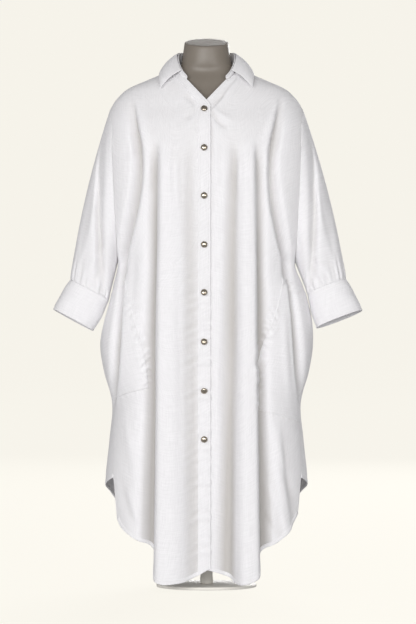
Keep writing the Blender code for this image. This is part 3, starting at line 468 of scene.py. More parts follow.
PUCKER_RUNS = rows_of(PuckerRun, (
    (((-0.18, 0.655), (-0.166, 0.62), (-0.152, 0.572), (-0.141, 0.52), (-0.137, 0.466)),
     0.015, 0.036, 0.005, 0.0034, 0.95, 11),
    (((0.158, 0.64), (0.136, 0.575), (0.122, 0.525), (0.117, 0.47), (0.117, 0.415)),
     0.015, 0.036, 0.005, 0.0036, -0.95, 12),
    (((0.172, 0.704), (0.192, 0.69), (0.214, 0.676)), 0.011, 0.026, 0.0036, 0.0024, 0.5, 13),
    (((-0.144, 0.458), (-0.176, 0.444), (-0.206, 0.43)), 0.011, 0.014, 0.0028, 0.0008, 0.3, 14),
    (((0.118, 0.408), (0.16, 0.396), (0.208, 0.382)), 0.011, 0.014, 0.0028, 0.0008, -0.3, 15),
), Face.FRONT)

# Creases on the sleeves, with x as distance from the middle of the garment
SLEEVE_CREASES = rows_of(Crease, (
    (0.232, 1.06, 0.262, 0.86, 0.008, 0.0022, 0.004),
    (0.252, 0.96, 0.276, 0.78, 0.0075, -0.0022, -0.003),
    (0.262, 0.86, 0.296, 0.72, 0.007, 0.0018, 0.003),
    (0.244, 0.8, 0.256, 0.69, 0.0065, -0.0024, 0.002),
    (0.228, 0.78, 0.286, 0.7, 0.0065, 0.0018, -0.004),
    (0.236, 0.74, 0.276, 0.676, 0.0055, -0.0018, 0.003),
), Face.FRONT) + rows_of(Crease, (
    (0.236, 1.04, 0.26, 0.84, 0.009, 0.0024, 0.004),
    (0.246, 0.93, 0.284, 0.74, 0.008, -0.0026, -0.003),
    (0.232, 0.82, 0.274, 0.7, 0.007, 0.0022, 0.003),
), Face.BACK)

FOLD_REACH = 0.022  # width over which a point of the cloth is compared with its neighbours
CREST_DEPTH = 0.002  # points less than this outside their neighbours start to get painted shade
VALLEY_DEPTH = 0.0165  # points this much further in would get the full painted shade
MOST_PAINTED_SHADE = 0.80  # the share of the full painted shade that the deepest points get

Net = np.ndarray  # rows, columns and the three coordinates
Values = np.ndarray


def smoothstep(low: float, high: float, value: Values) -> Values:
    """0 below low, 1 above high, and a soft ramp between."""
    share = np.clip((np.asarray(value, float) - low) / (high - low), 0.0, 1.0)
    return share * share * (3 - 2 * share)


def column_of(table: Sequence, name: str) -> list[float]:
    """One named column of a table."""
    return [getattr(row, name) for row in table]


def curve_through(stations: Sequence[float], values: Sequence[float], at: Values) -> Values:
    """A smooth curve through a table's values.

    Args:
        stations: where the values stand, rising.
        values: the table's values.
        at: the places to read.

    Returns:
        The curve's values there.
    """
    stations = np.asarray(stations, float)
    values = np.asarray(values, float)
    at = np.clip(np.asarray(at, float), stations[0], stations[-1])
    slopes = np.gradient(values, stations)
    left = np.clip(np.searchsorted(stations, at, side="right") - 1, 0, len(stations) - 2)
    step = stations[left + 1] - stations[left]
    s = (at - stations[left]) / step
    return (
        (2 * s**3 - 3 * s**2 + 1) * values[left]
        + (s**3 - 2 * s**2 + s) * step * slopes[left]
        + (3 * s**2 - 2 * s**3) * values[left + 1]
        + (s**3 - s**2) * step * slopes[left + 1]
    )


def lengths_along(points: Values) -> Values:
    """Length from the first point of a line to each of its points."""
    steps = np.linalg.norm(np.diff(points, axis=0), axis=1)
    return np.concatenate([[0.0], np.cumsum(steps)])


def net_lengths(net: Net, axis: int) -> Values:
    """Length from a net's first row (axis 0) or first column (axis 1) to each of its points."""
    steps = np.diff(net, axis=axis, prepend=net.take([0], axis=axis))
    return np.cumsum(np.linalg.norm(steps, axis=2), axis=axis)


def ripple(place: Values, spacing: float, seed: int) -> Values:
    """An uneven wave between about -1 and 1, made of three sines that don't repeat together."""
    rng = np.random.default_rng(seed)
    total = np.zeros_like(np.asarray(place, float))
    for stretch in (0.72, 1.0, 1.43):
        total += rng.uniform(0.6, 1.0) * np.sin(2 * math.pi * (place / (spacing * stretch) + rng.random()))
    return total / 2.4


def unit(vectors: Values) -> Values:
    """The vectors at length 1."""
    return vectors / (np.linalg.norm(vectors, axis=-1, keepdims=True) + 1e-12)


def net_normals(net: Net, closed: bool = False) -> Net:
    """Unit normal at each point of a net, from its neighbours."""
    down = np.gradient(net, axis=0)
    if closed:
        wrapped = np.concatenate([net[:, -1:], net, net[:, :1]], axis=1)
        across = (wrapped[:, 2:] - wrapped[:, :-2]) / 2
    else:
        across = np.gradient(net, axis=1)
    normals = unit(np.cross(down, across))
    if not closed:
        for col, inner in ((0, 1), (-1, -2)):
            normals[0, col] = normals[1, inner]  # two edges may meet here in one straight line
    return normals


def read_net(net: Net, rows: Values, cols: Values) -> Values:
    """Points at fractional rows and columns of a net."""
    rows = np.clip(rows, 0, net.shape[0] - 1.001)
    cols = np.clip(cols, 0, net.shape[1] - 1.001)
    r, c = rows.astype(int), cols.astype(int)
    fr, fc = (rows - r)[..., None], (cols - c)[..., None]
    top = net[r, c] * (1 - fc) + net[r, c + 1] * fc
    low = net[r + 1, c] * (1 - fc) + net[r + 1, c + 1] * fc
    return top * (1 - fr) + low * fr


@dataclass
class Trunk:
    """The trunk's cloth as folded level sections, which the panels are cut from.

    A section's points are numbered from -180 to 180 degrees round the body, where 0 is the front.
    """

    samples: int = 1201
    low_step: float = 0.004
    top_step: float = 0.0015
    levels: Values = field(init=False)
    rings: Values = field(init=False)

    def __post_init__(self) -> None:
        """Works out every level once."""
        low = np.arange(0.0, 1.0, self.low_step)
        self.levels = np.concatenate([low, np.arange(1.0, 1.2085, self.top_step)])
        self.rings = np.array([self.folded_ring(float(z)) for z in self.levels])

    def size(self, name: str, z: Values) -> Values:
        """One size of the unfolded section at height z."""
        return curve_through(column_of(BODY_SECTIONS, "z"), column_of(BODY_SECTIONS, name), z)

    def half_width(self, x: Values, z: Values) -> Values:
        """Half width of the unfolded section at height z, on the side that x lies on."""
        return self.size("half_width", z) + self.size("left_extra", z) * (np.asarray(x) > 0)

    def angle_at(self, x: Values, z: Values) -> Values:
        """Angle round the unfolded section of the front point that lies at x."""
        share = np.clip(np.abs(x) / self.half_width(x, z), 0.0, 1.0)
        return np.sign(x) * np.arcsin(share ** (self.size("squareness", z) / 2))

    def index_of(self, angle: Values) -> Values:
        """Place of an angle among a section's points."""
        return (angle + math.pi) / (2 * math.pi) * (self.samples - 1)

    def fold_push(self, fold: Fold, z: float, along: Values, x: Values, is_front: Values) -> Values:
        """How far one fold moves the section at height z out of its oval, at each of its points."""
        grown = 1 - float(smoothstep(fold.z_full, fold.z_top, z))
        if fold.fade > 0:
            grown *= float(smoothstep(fold.z_low - fold.fade, fold.z_low, z))
        if grown <= 0:
            return np.zeros_like(x)
        down = min(max((fold.z_top - z) / (fold.z_top - fold.z_low), 0.0), 1.0)
        centre_x = float(curve_through((0.0, 0.5, 1.0), (fold.x_top, fold.x_mid, fold.x_low), down))
        side = is_front if fold.face is Face.FRONT else ~is_front
        order = np.argsort(x[side])
        centre = np.interp(centre_x, x[side][order], along[side][order])
        outward = math.copysign(1.0, centre_x)
        if fold.face is Face.BACK:
            outward = -outward
        away = (along - centre) * outward
        width = np.where(away > 0, fold.outer, fold.inner) * (1 - FOLD_NARROWING * (1 - down))
        power = np.where(away > 0, fold.outer_power, fold.inner_power)
        depth = fold.depth_top + (fold.depth_low - fold.depth_top) * down
        return grown * depth * np.exp(-np.abs(away / width) ** power)

    def folded_ring(self, z: float) -> Values:
        """The folded section at height z: rows of x, y and length from the middle of the front."""
        angle = np.linspace(-math.pi, math.pi, self.samples)
        width = self.half_width(angle, z)
        power = 2.0 / float(self.size("squareness", z))
        is_front = np.abs(angle) <= math.pi / 2
        deep = np.where(is_front, float(self.size("front", z)), float(self.size("back", z)))
        sine, cosine = np.sin(angle), np.cos(angle)
        x = width * np.sign(sine) * np.abs(sine) ** power
        y = -deep * np.sign(cosine) * np.abs(cosine) ** power
        along = self.from_middle(x, y)
        normal_x = np.sign(x) * (np.abs(x) / width) ** (2 / power - 1) / width
        normal_y = np.sign(y) * (np.abs(y) / deep) ** (2 / power - 1) / deep
        length = np.hypot(normal_x, normal_y) + 1e-9
        push = sum(self.fold_push(fold, z, along, x, is_front) for fold in FOLDS)
        x = x + push * normal_x / length
        y = y + push * normal_y / length
        return np.array([x, y, self.from_middle(x, y)])

    @staticmethod
    def from_middle(x: Values, y: Values) -> Values:
        """Length from the middle of the front to each point of a section, negative on the -X side."""
        total = lengths_along(np.stack([x, y], axis=1))
        return total - total[len(total) // 2]

    def ring_at(self, z: float) -> Values:
        """The folded section at any height, between the two nearest levels."""
        place = float(np.interp(z, self.levels, np.arange(len(self.levels))))
        low = min(int(place), len(self.levels) - 2)
        return self.rings[low] * (1 - place + low) + self.rings[low + 1] * (place - low)

    def read(self, place: Values, z: Values) -> tuple[Values, Values]:
        """x and y at fractional places of the sections at heights z."""
        level = np.interp(z, self.levels, np.arange(len(self.levels)))
        low = np.minimum(level.astype(int), len(self.levels) - 2)
        up = level - low
        left = np.clip(place.astype(int), 0, self.samples - 2)
        part = place - left
        found = []
        for axis in (0, 1):
            under = self.rings[low, axis, left] * (1 - part) + self.rings[low, axis, left + 1] * part
            over = self.rings[low + 1, axis, left] * (1 - part) + self.rings[low + 1, axis, left + 1] * part
            found.append(under * (1 - up) + over * up)
        return found[0], found[1]

    def side_place(self, z: float, side: Side, face: Face) -> float:
        """Place of a panel's outer edge: the armhole above the underarm, else the side seam."""
        if z < UNDERARM[1]:
            angles = column_of(SIDE_SEAM, side.name.lower() + "_angle")
            seam = curve_through(column_of(SIDE_SEAM, "z"), angles, z)
            return float(self.index_of(side.value * math.radians(float(seam))))
        half = int(round(float(self.index_of(side.value * math.pi / 2))))
        reach = armhole_x(z)
        x = np.abs(self.ring_at(z)[0])
        step = -side.value if face is Face.FRONT else side.value
        place = half
        while x[place] > reach and 0 < place < self.samples - 1:
            place += step
        if x[place] >= reach or place == half:
            return float(place)
        return place - step * (reach - x[place]) / max(x[place - step] - x[place], 1e-9)

    def edge_point(self, z: float, side: Side, face: Face) -> Values:
        """A panel's point on the armhole or the side seam, half the seam's gap short of it."""
        place = np.array([self.side_place(z, side, face)])
        height = np.array([z])
        x, y = (float(v[0]) for v in self.read(place, height))
        if z >= UNDERARM[1] - 1e-6:
            return np.array((x, max(y, SEAM / 2) if face is Face.BACK else min(y, -SEAM / 2), z))
        ahead, behind = self.read(place + 8, height), self.read(place - 8, height)
        tangent = unit(np.array((float(ahead[0][0] - behind[0][0]), float(ahead[1][0] - behind[1][0]))))
        step = side.value * SEAM / 2 * (1 if face is Face.BACK else -1)
        return np.array((x + tangent[0] * step, y + tangent[1] * step, z))


def armhole_x(z: Values) -> Values:
    """The plane that parts a sleeve from the body, as distance from the middle."""
    return UNDERARM[0] + (TIP[0] - UNDERARM[0]) / (TIP[1] - UNDERARM[1]) * (z - UNDERARM[1])


def opening_x(side: Side, z: Values) -> Values:
    """x of a front's free edge: straight down, and slanting away above the first button."""
    straight = PLACKET_EDGE if side is Side.RIGHT else PLACKET_EDGE - PLACKET_WIDTH
    slope = (COLLAR_END[0] + 0.0025) / (COLLAR_END[1] - OPENING_Z - 0.011)
    slanted = side.value * (COLLAR_END[0] - slope * (COLLAR_END[1] - np.minimum(z, COLLAR_END[1])))
    return np.minimum(straight, slanted) if side is Side.RIGHT else np.maximum(straight, slanted)


def band_width(z: Values) -> Values:
    """Width of the button band, which narrows a little as it runs up into the neck seam."""
    return PLACKET_WIDTH + (PLACKET_TOP_WIDTH - PLACKET_WIDTH) * smoothstep(OPENING_Z, COLLAR_END[1], z)


def seam_top_z(trunk: Trunk, x: float, face: Face) -> float:
    """Height of the neck seam and the shoulder seam above the point x."""
    reach = abs(x)
    if reach < NECK_POINT[0]:
        if face is Face.BACK:
            return BACK_NECK_Z - (BACK_NECK_Z - NECK_POINT[1]) * (reach / NECK_POINT[0]) ** 2
        share = max((reach - COLLAR_END[0]) / (NECK_POINT[0] - COLLAR_END[0]), 0.0)
        return COLLAR_END[1] + (NECK_POINT[1] - COLLAR_END[1]) * share**1.9
    heights = np.linspace(NECK_POINT[1], TIP[1], 400)
    return float(np.interp(reach, trunk.size("half_width", heights), heights))


def places_of(trunk: Trunk, heights: Values, lengths: Callable[[float], Values], hanging: Values) -> Values:
    """Where a panel's points lie round the trunk.

    Args:
        trunk: the cloth that the panel is cut from.
        heights: the points' heights, in rows and columns.
        lengths: gives every column's length along the section at one height.
        hanging: the places of columns that hang straight down from the shoulder seam.

    Returns:
        A place for each point, by length in the body and hanging over the shoulders.
    """
    samples = np.arange(trunk.samples)
    by_level = np.array([np.interp(lengths(float(z)), ring[2], samples)
                         for z, ring in zip(trunk.levels, trunk.rings)])
    cols = range(heights.shape[1])
    spread = np.stack([np.interp(heights[:, c], trunk.levels, by_level[:, c]) for c in cols], axis=1)
    return spread + (hanging - spread) * smoothstep(*SHOULDER_FADE, heights)


def towards(start: tuple[float, float], stop: tuple[float, float], ease: float) -> tuple[float, float]:
    """A pocket's mouth and bottom heights on the way from one pair to another."""
    return start[0] + (stop[0] - start[0]) * ease, start[1] + (stop[1] - start[1]) * ease


@dataclass(frozen=True)
class RowCounts:
    """Rows of a panel's net in each stretch, from the top seam down to the hem."""

    top: int = 104
    underarm: int = 14
    pocket: int = 98
    hem: int = 84

    def heights(self, top: float, mouth: float, bottom: float, hem: float) -> Values:
        """Heights of one column's points, close together over the shoulder."""
        spacing = np.linspace(0, 1, self.top + 1) ** 1.7
        return np.concatenate(
            [
                top - (top - UNDERARM[1]) * spacing,
                np.linspace(UNDERARM[1], mouth, self.underarm + 1)[1:],
                np.linspace(mouth, bottom, self.pocket + 1)[1:],
                np.linspace(bottom, hem, self.hem + 1)[1:],
            ]
        )


@dataclass
class FrontPanel:
    """One front, from its free edge round to the armhole and the side seam."""

    trunk: Trunk
    side: Side
    rows: RowCounts = RowCounts()
    placket_cells: int = 9
    front_cells: int = 54
    pocket_cells: int = 60

    def tops(self) -> Values:
        """x at the top of each column, from the free edge to the shoulder tip."""
        stops = (COLLAR_END[0], COLLAR_END[0] + PLACKET_TOP_WIDTH, 0.125, TIP[0])
        return self.side.value * self.in_bands(*stops)

    def in_bands(self, edge: float, placket: float, inner: float, outer: float) -> Values:
        """Values for every column, spread evenly within the placket, the front and the pocket."""
        return np.concatenate(
            [
                np.linspace(edge, placket, self.placket_cells + 1),
                np.linspace(placket, inner, self.front_cells + 1)[1:],
                np.linspace(inner, outer, self.pocket_cells + 1)[1:],
            ]
        )

    def lengths(self, z: float) -> Values:
        """Length along the section of each column at height z."""
        trunk, ring = self.trunk, self.trunk.ring_at(z)
        samples = np.arange(trunk.samples)
        edge_x = float(opening_x(self.side, z))
        pocket = column_of(POCKET_EDGE, "right_x" if self.side is Side.RIGHT else "left_x")
        inner_x = float(curve_through(column_of(POCKET_EDGE, "z"), pocket, z))
        placket_x = edge_x + self.side.value * float(band_width(z))
        places = [trunk.index_of(trunk.angle_at(x, z)) for x in (edge_x, placket_x, inner_x)]
        places.append(trunk.side_place(z, self.side, Face.FRONT))
        return self.in_bands(*np.interp(places, samples, ring[2]))

    def hanging(self, heights: Values) -> Values:
        """Places of the columns where they hang straight down from the shoulder seam."""
        side = self.side.value
        band_top = COLLAR_END[0] + PLACKET_TOP_WIDTH
        tops = self.tops()
        shift = opening_x(self.side, heights) + side * (band_width(heights) - band_top)
        x = tops + shift * (1 - smoothstep(band_top, 0.130, np.abs(tops)))
        for col in range(self.placket_cells + 1):
            share = col / self.placket_cells
            z = heights[:, col]
            x[:, col] = opening_x(self.side, z) + side * band_width(z) * share
        return self.trunk.index_of(self.trunk.angle_at(x, heights))

    def heights(self) -> Values:
        """Heights of all rows and columns, with rows on the pocket's mouth and bottom."""
        pocket = POCKET_HEIGHT[self.side]
        inner = self.placket_cells + self.front_cells
        hem_lengths = self.lengths(0.12)
        shares = (hem_lengths - hem_lengths[0]) / (hem_lengths[-1] - hem_lengths[0])
        name = "right_front" if self.side is Side.RIGHT else "left_front"
        found = []
        for col, x_top in enumerate(self.tops()):
            if col <= inner:
                ease = float(smoothstep(self.placket_cells, inner, col))
                lines = towards(MIDDLE_LINES, (pocket.mouth_inner, pocket.bottom_inner), ease)
            else:
                ends = (pocket.mouth_inner, pocket.bottom_inner), (pocket.mouth_side, pocket.bottom_side)
                lines = towards(*ends, (col - inner) / self.pocket_cells)
            hem = float(curve_through(column_of(HEM, "share"), column_of(HEM, name), shares[col]))
            found.append(self.rows.heights(seam_top_z(self.trunk, x_top, Face.FRONT), *lines, hem))
        return np.array(found).T

    def net(self) -> Net:
        """The panel's outer face, as rows of points from the top seam down, with columns towards +X."""
        heights = self.heights()
        place = places_of(self.trunk, heights, self.lengths, self.hanging(heights))
        x, y = self.trunk.read(place, heights)
        if self.side is Side.LEFT:
            cols = np.arange(heights.shape[1])
            y = y + LAP_DEPTH * (1 - smoothstep(self.placket_cells, self.placket_cells * 1.7, cols))
        net = np.stack([x, y, heights], axis=2)
        net[:, -1] = [self.trunk.edge_point(float(z), self.side, Face.FRONT) for z in heights[:, -1]]
        net[0, :, 1] = np.minimum(net[0, :, 1], -SEAM / 2)
        return net if self.side is Side.LEFT else net[:, ::-1]


@dataclass
class BackPanel:
    """The back, in one panel from shoulder to shoulder and down to the hem."""

    trunk: Trunk
    rows: RowCounts = RowCounts(top=96, underarm=12, pocket=60, hem=84)
    cells: int = 120

    def __post_init__(self) -> None:
        """Numbers the columns from the left side seam round to the right one."""
        half = self.cells // 2
        self.tops = np.linspace(TIP[0], -TIP[0], self.cells + 1)
        self.sides = [Side.LEFT if col < half else Side.RIGHT for col in range(self.cells + 1)]
        self.out = np.abs(np.arange(self.cells + 1) - half) / half

    def lengths(self, z: float) -> list[float]:
        """Length along the section of each column at height z."""
        trunk, ring = self.trunk, self.trunk.ring_at(z)[2]
        samples = np.arange(trunk.samples)
        ends = {side: float(np.interp(trunk.side_place(z, side, Face.BACK), samples, ring)) for side in Side}
        middles = {Side.LEFT: ring[-1], Side.RIGHT: ring[0]}
        return [middles[s] + (ends[s] - middles[s]) * share for s, share in zip(self.sides, self.out)]

    def heights(self) -> Values:
        """Heights of all rows and columns."""
        found = []
        for x_top, side, share in zip(self.tops, self.sides, self.out):
            pocket = POCKET_HEIGHT[side]
            ends = (pocket.mouth_side, pocket.bottom_side)
            lines = towards(MIDDLE_LINES, ends, float(smoothstep(0, 1, share)))
            hem = float(curve_through(column_of(HEM, "share"), column_of(HEM, "back"), share))
            found.append(self.rows.heights(seam_top_z(self.trunk, x_top, Face.BACK), *lines, hem))
        return np.array(found).T

    def net(self) -> Net:
        """The panel's outer face, from the neck and shoulders down, with columns towards -X."""
        trunk, heights = self.trunk, self.heights()
        signs = np.array([side.value for side in self.sides])
        hanging = trunk.index_of(signs * math.pi - trunk.angle_at(self.tops + 0 * heights, heights))
        x, y = trunk.read(places_of(trunk, heights, self.lengths, hanging), heights)
        net = np.stack([x, y, heights], axis=2)
        for col in (0, self.cells):
            net[:, col] = [trunk.edge_point(float(z), self.sides[col], Face.BACK) for z in heights[:, col]]
        net[0, :, 1] = np.maximum(net[0, :, 1], SEAM / 2)
        return net


@dataclass(frozen=True)
class CreaseBook:
    """Creases and pucker runs, and what they do to a net."""

    creases: tuple = ()
    runs: tuple = ()

    def all_creases(self) -> list[Crease]:
        """The placed creases, and the small ones that each run gives."""
        found = list(self.creases)
        for run in self.runs:
            found.extend(self.from_run(run))
        return found

    @staticmethod
    def from_run(run: PuckerRun) -> list[Crease]:
        """Small uneven creases across one seam.

        Args:
            run: the seam's points and the sizes of its puckers.

        Returns:
            One crease for each pucker, high and low in turn.
        """
        rng = np.random.default_rng(run.seed)
        path = np.array(run.path)
        along = lengths_along(path)
        found = []
        place = run.spacing * 0.5
        sign = 1.0
        while place < along[-1]:
            x = float(np.interp(place, along, path[:, 0]))
            z = float(np.interp(place, along, path[:, 1]))
            angle = run.slant + rng.uniform(-0.28, 0.28)
            half = run.length / 2 * rng.uniform(0.6, 1.15)
            dx, dz = half * math.cos(angle), half * math.sin(angle)
            height = sign * run.height * rng.uniform(0.55, 1.1)
            width = run.width * rng.uniform(0.85, 1.3)
            found.append(Crease(run.face, x - dx, z - dz, x + dx, z + dz, width, height, 0.0))
            place += run.spacing * rng.uniform(0.3, 0.75)
            sign = -sign
        return found

    def push(self, x: Values, z: Values, face: Face) -> Values:
        """How far the creases of one face move the points at x and z."""
        total = np.zeros_like(x)
        for crease in self.all_creases():
            if crease.face is not face:
                continue
            dx, dz = crease.x1 - crease.x0, crease.z1 - crease.z0
            length = math.hypot(dx, dz)
            t = ((x - crease.x0) * dx + (z - crease.z0) * dz) / length**2
            inside = np.clip(t, 0.0, 1.0)
            off = ((x - crease.x0) * dz - (z - crease.z0) * dx) / length
            off = off - crease.bow * 4 * inside * (1 - inside)
            taper = np.sin(math.pi * np.clip((t + 0.02) / 1.04, 0, 1)) ** 0.7
            total += crease.height * taper * np.exp(-((off / crease.width) ** 2))
        return total


def edge_mask(net: Net, left: bool = True, right: bool = True) -> Values:
    """0 on the sewn edges of a net, its first row too, and 1 a little way inside them.

    Args:
        net: the points.
        left: whether the first column is sewn.
        right: whether the last column is sewn.

    Returns:
        A value for each point.
    """
    reach = 0.012
    mask = np.ones(net.shape[:2])
    mask *= smoothstep(0, reach, net_lengths(net, 0))
    across = net_lengths(net, 1)
    if left:
        mask *= smoothstep(0, reach, across)
    if right:
        mask *= smoothstep(0, reach, across[:, -1:] - across)
    return mask


def linear(code: str) -> tuple[float, float, float, float]:
    """An sRGB hex colour as linear values for a shader's socket."""
    parts = [int(code[i : i + 2], 16) / 255 for i in (1, 3, 5)]
    red, green, blue = (p / 12.92 if p <= 0.04045 else ((p + 0.055) / 1.055) ** 2.4 for p in parts)
    return (red, green, blue, 1.0)


def add_node(
    tree: NodeTree, kind: str, values: Optional[dict] = None, links: Optional[dict] = None, **settings: object
) -> Node:
    """Adds one node.

    Args:
        tree: the node tree.
        kind: the node's type.
        values: default values of its inputs, by name or number.
        links: output sockets to link to its inputs, by name or number.
        settings: the node's own properties.

    Returns:
        The new node.
    """
    node = tree.nodes.new(kind)
    for name, value in settings.items():
        setattr(node, name, value)
    for key, value in (values or {}).items():
        node.inputs[key].default_value = value
    for key, source in (links or {}).items():
        tree.links.new(source, node.inputs[key])
    return node


class Recipe:
    """A material in the making, with the steps that most finishes share."""

    def __init__(self, name: str, **values: object) -> None:
        """Starts a material and sets its shader's values, named with _ for a space."""
        self.made = bpy.data.materials.new(name)
        self.made.use_nodes = True
        self.tree = self.made.node_tree
        self.shader = self.tree.nodes["Principled BSDF"]
        for key, value in values.items():
            self.shader.inputs[key.replace("_", " ")].default_value = value

    def add(
        self, kind: str, links: Optional[dict] = None, values: Optional[dict] = None, **settings: object
    ) -> NodeOutputs:
        """Adds one shader node and gives its outputs."""
        return add_node(self.tree, "ShaderNode" + kind, values, links, **settings).outputs

    def place(self) -> NodeSocket:
        """The piece's Object coordinates."""
        return self.add("TexCoord")["Object"]

    def noise(
        self, where: NodeSocket, scale: float, detail: float, roughness: float = 0.5
    ) -> NodeSocket:
        """A cloudy value."""
        values = {"Scale": scale, "Detail": detail, "Roughness": roughness}
        return self.add("TexNoise", {"Vector": where}, values)["Fac"]

    def joined(
        self, first: NodeSocket, second: NodeSocket, operation: str
    ) -> NodeSocket:
        """Two values added or multiplied."""
        return self.add("Math", {0: first, 1: second}, operation=operation)[0]

    def spread(self, value: NodeSocket, **ends: float) -> NodeSocket:
        """A value moved from one range to another, the ends named with _ for a space."""
        values = {key.replace("_", " "): end for key, end in ends.items()}
        return self.add("MapRange", {"Value": value}, values)["Result"]

    def between(self, low: object, high: object, share: NodeSocket) -> NodeSocket:
        """A colour mixed from two, each a hex code or a socket."""
        ends = {6: low, 7: high}
        values = {key: linear(end) for key, end in ends.items() if isinstance(end, str)}
        links = {key: end for key, end in ends.items() if not isinstance(end, str)}
        return self.add("Mix", {0: share, **links}, values, data_type="RGBA")[2]

    def bump(self, height: NodeSocket, strength: float, distance: float) -> NodeSocket:
        """Relief from a height."""
        return self.add("Bump", {"Height": height}, {"Strength": strength, "Distance": distance})["Normal"]

    def finish(self, **sockets: NodeSocket) -> Material:
        """Links the shader's inputs, named with _ for a space, and gives the material."""
        for key, socket in sockets.items():
            self.tree.links.new(socket, self.shader.inputs[key.replace("_", " ")])
        return self.made


@dataclass(frozen=True)
class WovenLinen:
    """White linen cloth, plain woven and washed: uneven slubs both ways, matt, with a little fuzz.

    A mesh attribute paints shade into the bottoms of the folds, which the soft lights alone draw too flat."""

    name: str = "woven_linen"
    thin: str = "#EAE9EB"
    slub: str = "#FAF9FB"
    cloud: str = "#F0EFF1"
    # colour of the painted shade in the bottoms of the folds
    shade: str = "#B9B5B0"
    slub_width: float = 0.0024  # real slubs are 0.5 to 1 mm; drawn coarser so that they show
    slub_length: float = 0.034
    thread_pitch: float = 0.0014  # real threads are 0.5 mm apart; drawn coarser so that they show
    bump: float = 0.30

    def build(self) -> Material:
        """The material, on the cloth's own map in metres along and across its threads."""
        mix = Recipe(self.name, Roughness=0.88, Specular_IOR_Level=0.25, Sheen_Weight=0.12, Sheen_Roughness=0.45)
        where = mix.add("UVMap", uv_map="cut")["UV"]
        fine, coarse = 1 / self.slub_width, 1 / self.slub_length
        slubs = []
        for scale in ((fine, coarse, 1.0), (coarse, fine, 1.0)):
            drawn = mix.add("Mapping", {"Vector": where}, {"Scale": scale})["Vector"]
            slubs.append(mix.noise(drawn, 1.0, 2.0, 0.6))
        contrast = mix.spread(mix.joined(*slubs, "ADD"), From_Min=0.78, From_Max=1.22)
        size = {"Scale": BAND_REPEAT / self.thread_pitch, "Distortion": 0.6, "Detail": 1.0}
        waves = [mix.add("TexWave", {"Vector": where}, size, bands_direction=way)["Fac"] for way in "XY"]
        relief = mix.joined(mix.joined(*waves, "MULTIPLY"), contrast, "ADD")
        threads = mix.between(self.thin, self.slub, contrast)
        cloudy = mix.between(threads, self.cloud, mix.noise(where, 14.0, 3.0))
        # painted shade: the fold attribute mixes the darker colour into the bottoms of the folds
        hollow = mix.add("Attribute", attribute_name="hollow")["Fac"]
        with_painted_shade = mix.between(cloudy, self.shade, hollow)
        return mix.finish(Base_Color=with_painted_shade, Normal=mix.bump(relief, self.bump, 0.0006))


@dataclass(frozen=True)
class SewingThread:
    """White polyester-cotton sewing thread, twisted: a touch brighter and smoother than the cloth."""

    name: str = "twisted_sewing_thread"
    light: str = "#F7F6F6"
    dark: str = "#DEDCDC"
    twist_pitch: float = 0.0006

    def build(self) -> Material:
        """The material, with the twist as fine slanting bands."""
        mix = Recipe(self.name, Roughness=0.6)
        size = {"Scale": BAND_REPEAT / self.twist_pitch}
        twist = mix.add("TexWave", {"Vector": mix.place()}, size, bands_direction="DIAGONAL")["Fac"]
        return mix.finish(Base_Color=mix.between(self.dark, self.light, twist))


@dataclass(frozen=True)
class AgedNickel:
    """Cast shank buttons in aged nickel, tumbled: soft shine, warmer and duller in random patches."""

    name: str = "aged_nickel"
    bright: str = "#C6BFB2"
    patina: str = "#7E7262"
    grain: float = 0.0016

    def build(self) -> Material:
        """The material, with patina in patches and fine tumbling marks."""
        mix = Recipe(self.name, Metallic=1.0)
        where = mix.place()
        worn = mix.spread(mix.noise(where, 1 / self.grain, 4.0, 0.65), From_Min=0.35, From_Max=0.65)
        return mix.finish(
            Base_Color=mix.between(self.patina, self.bright, worn),
            Roughness=mix.spread(worn, To_Min=0.30, To_Max=0.16),
            Normal=mix.bump(mix.noise(where, 2200.0, 2.0), 0.12, 0.0002),
        )


@dataclass(frozen=True)
class SprayedFibreglass:
    """The torso: moulded fibreglass sprayed warm grey, satin, with a faint orange-peel."""

    name: str = "sprayed_fibreglass"
    light: str = "#867E74"
    dark: str = "#797167"
    mottle: float = 0.045
    peel: float = 0.0014

    def build(self) -> Material:
        """The material, slightly mottled, with fine relief from the spray gun."""
        mix = Recipe(self.name, Roughness=0.42)
        where = mix.place()
        colour = mix.between(self.dark, self.light, mix.noise(where, 1 / self.mottle, 3.0))
        return mix.finish(Base_Color=colour, Normal=mix.bump(mix.noise(where, 1 / self.peel, 1.0), 0.1, 0.0003))


@dataclass(frozen=True)
class PowderCoat:
    """The pole and foot: powder-coated steel in cream, with the fine leathery grain of baked powder."""

    name: str = "cream_powder_coat"
    light: str = "#F7F4EC"
    dark: str = "#EFEBE1"
    grain: float = 0.0018

    def build(self) -> Material:
        """The material, with grain in its relief and roughness."""
        mix = Recipe(self.name)
        grain = mix.noise(mix.place(), 1 / self.grain, 2.0)
        return mix.finish(
            Base_Color=mix.between(self.dark, self.light, grain),
            Roughness=mix.spread(grain, To_Min=0.38, To_Max=0.52),
            Normal=mix.bump(grain, 0.15, 0.0003),
        )


@dataclass(frozen=True)
class StudioPaper:
    """The backdrop: seamless cream studio paper, lit so that it glows evenly all round."""

    name: str = "seamless_paper"
    colour: str = "#3A3937"
    glow_colour: str = "#F8F5EC"
    glow: float = 0.965

    def build(self) -> Material:
        """The material, matt, with nearly all of its brightness of its own."""
        return Recipe(
            self.name,
            Base_Color=linear(self.colour),
            Roughness=0.95,
            Specular_IOR_Level=0.1,
            Emission_Color=linear(self.glow_colour),
            Emission_Strength=self.glow,
        ).finish()


class Slot(Enum):
    """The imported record's material slots."""

    LINEN = "linen"
    BUTTON = "button"
    COVER = "form_cover"
    METAL = "form_metal"


@dataclass
class Finishes:
    """Every material, built once."""

    linen: Material = field(default_factory=WovenLinen().build)
    thread: Material = field(default_factory=SewingThread().build)
    nickel: Material = field(default_factory=AgedNickel().build)
    cover: Material = field(default_factory=SprayedFibreglass().build)
    coat: Material = field(default_factory=PowderCoat().build)
    paper: Material = field(default_factory=StudioPaper().build)


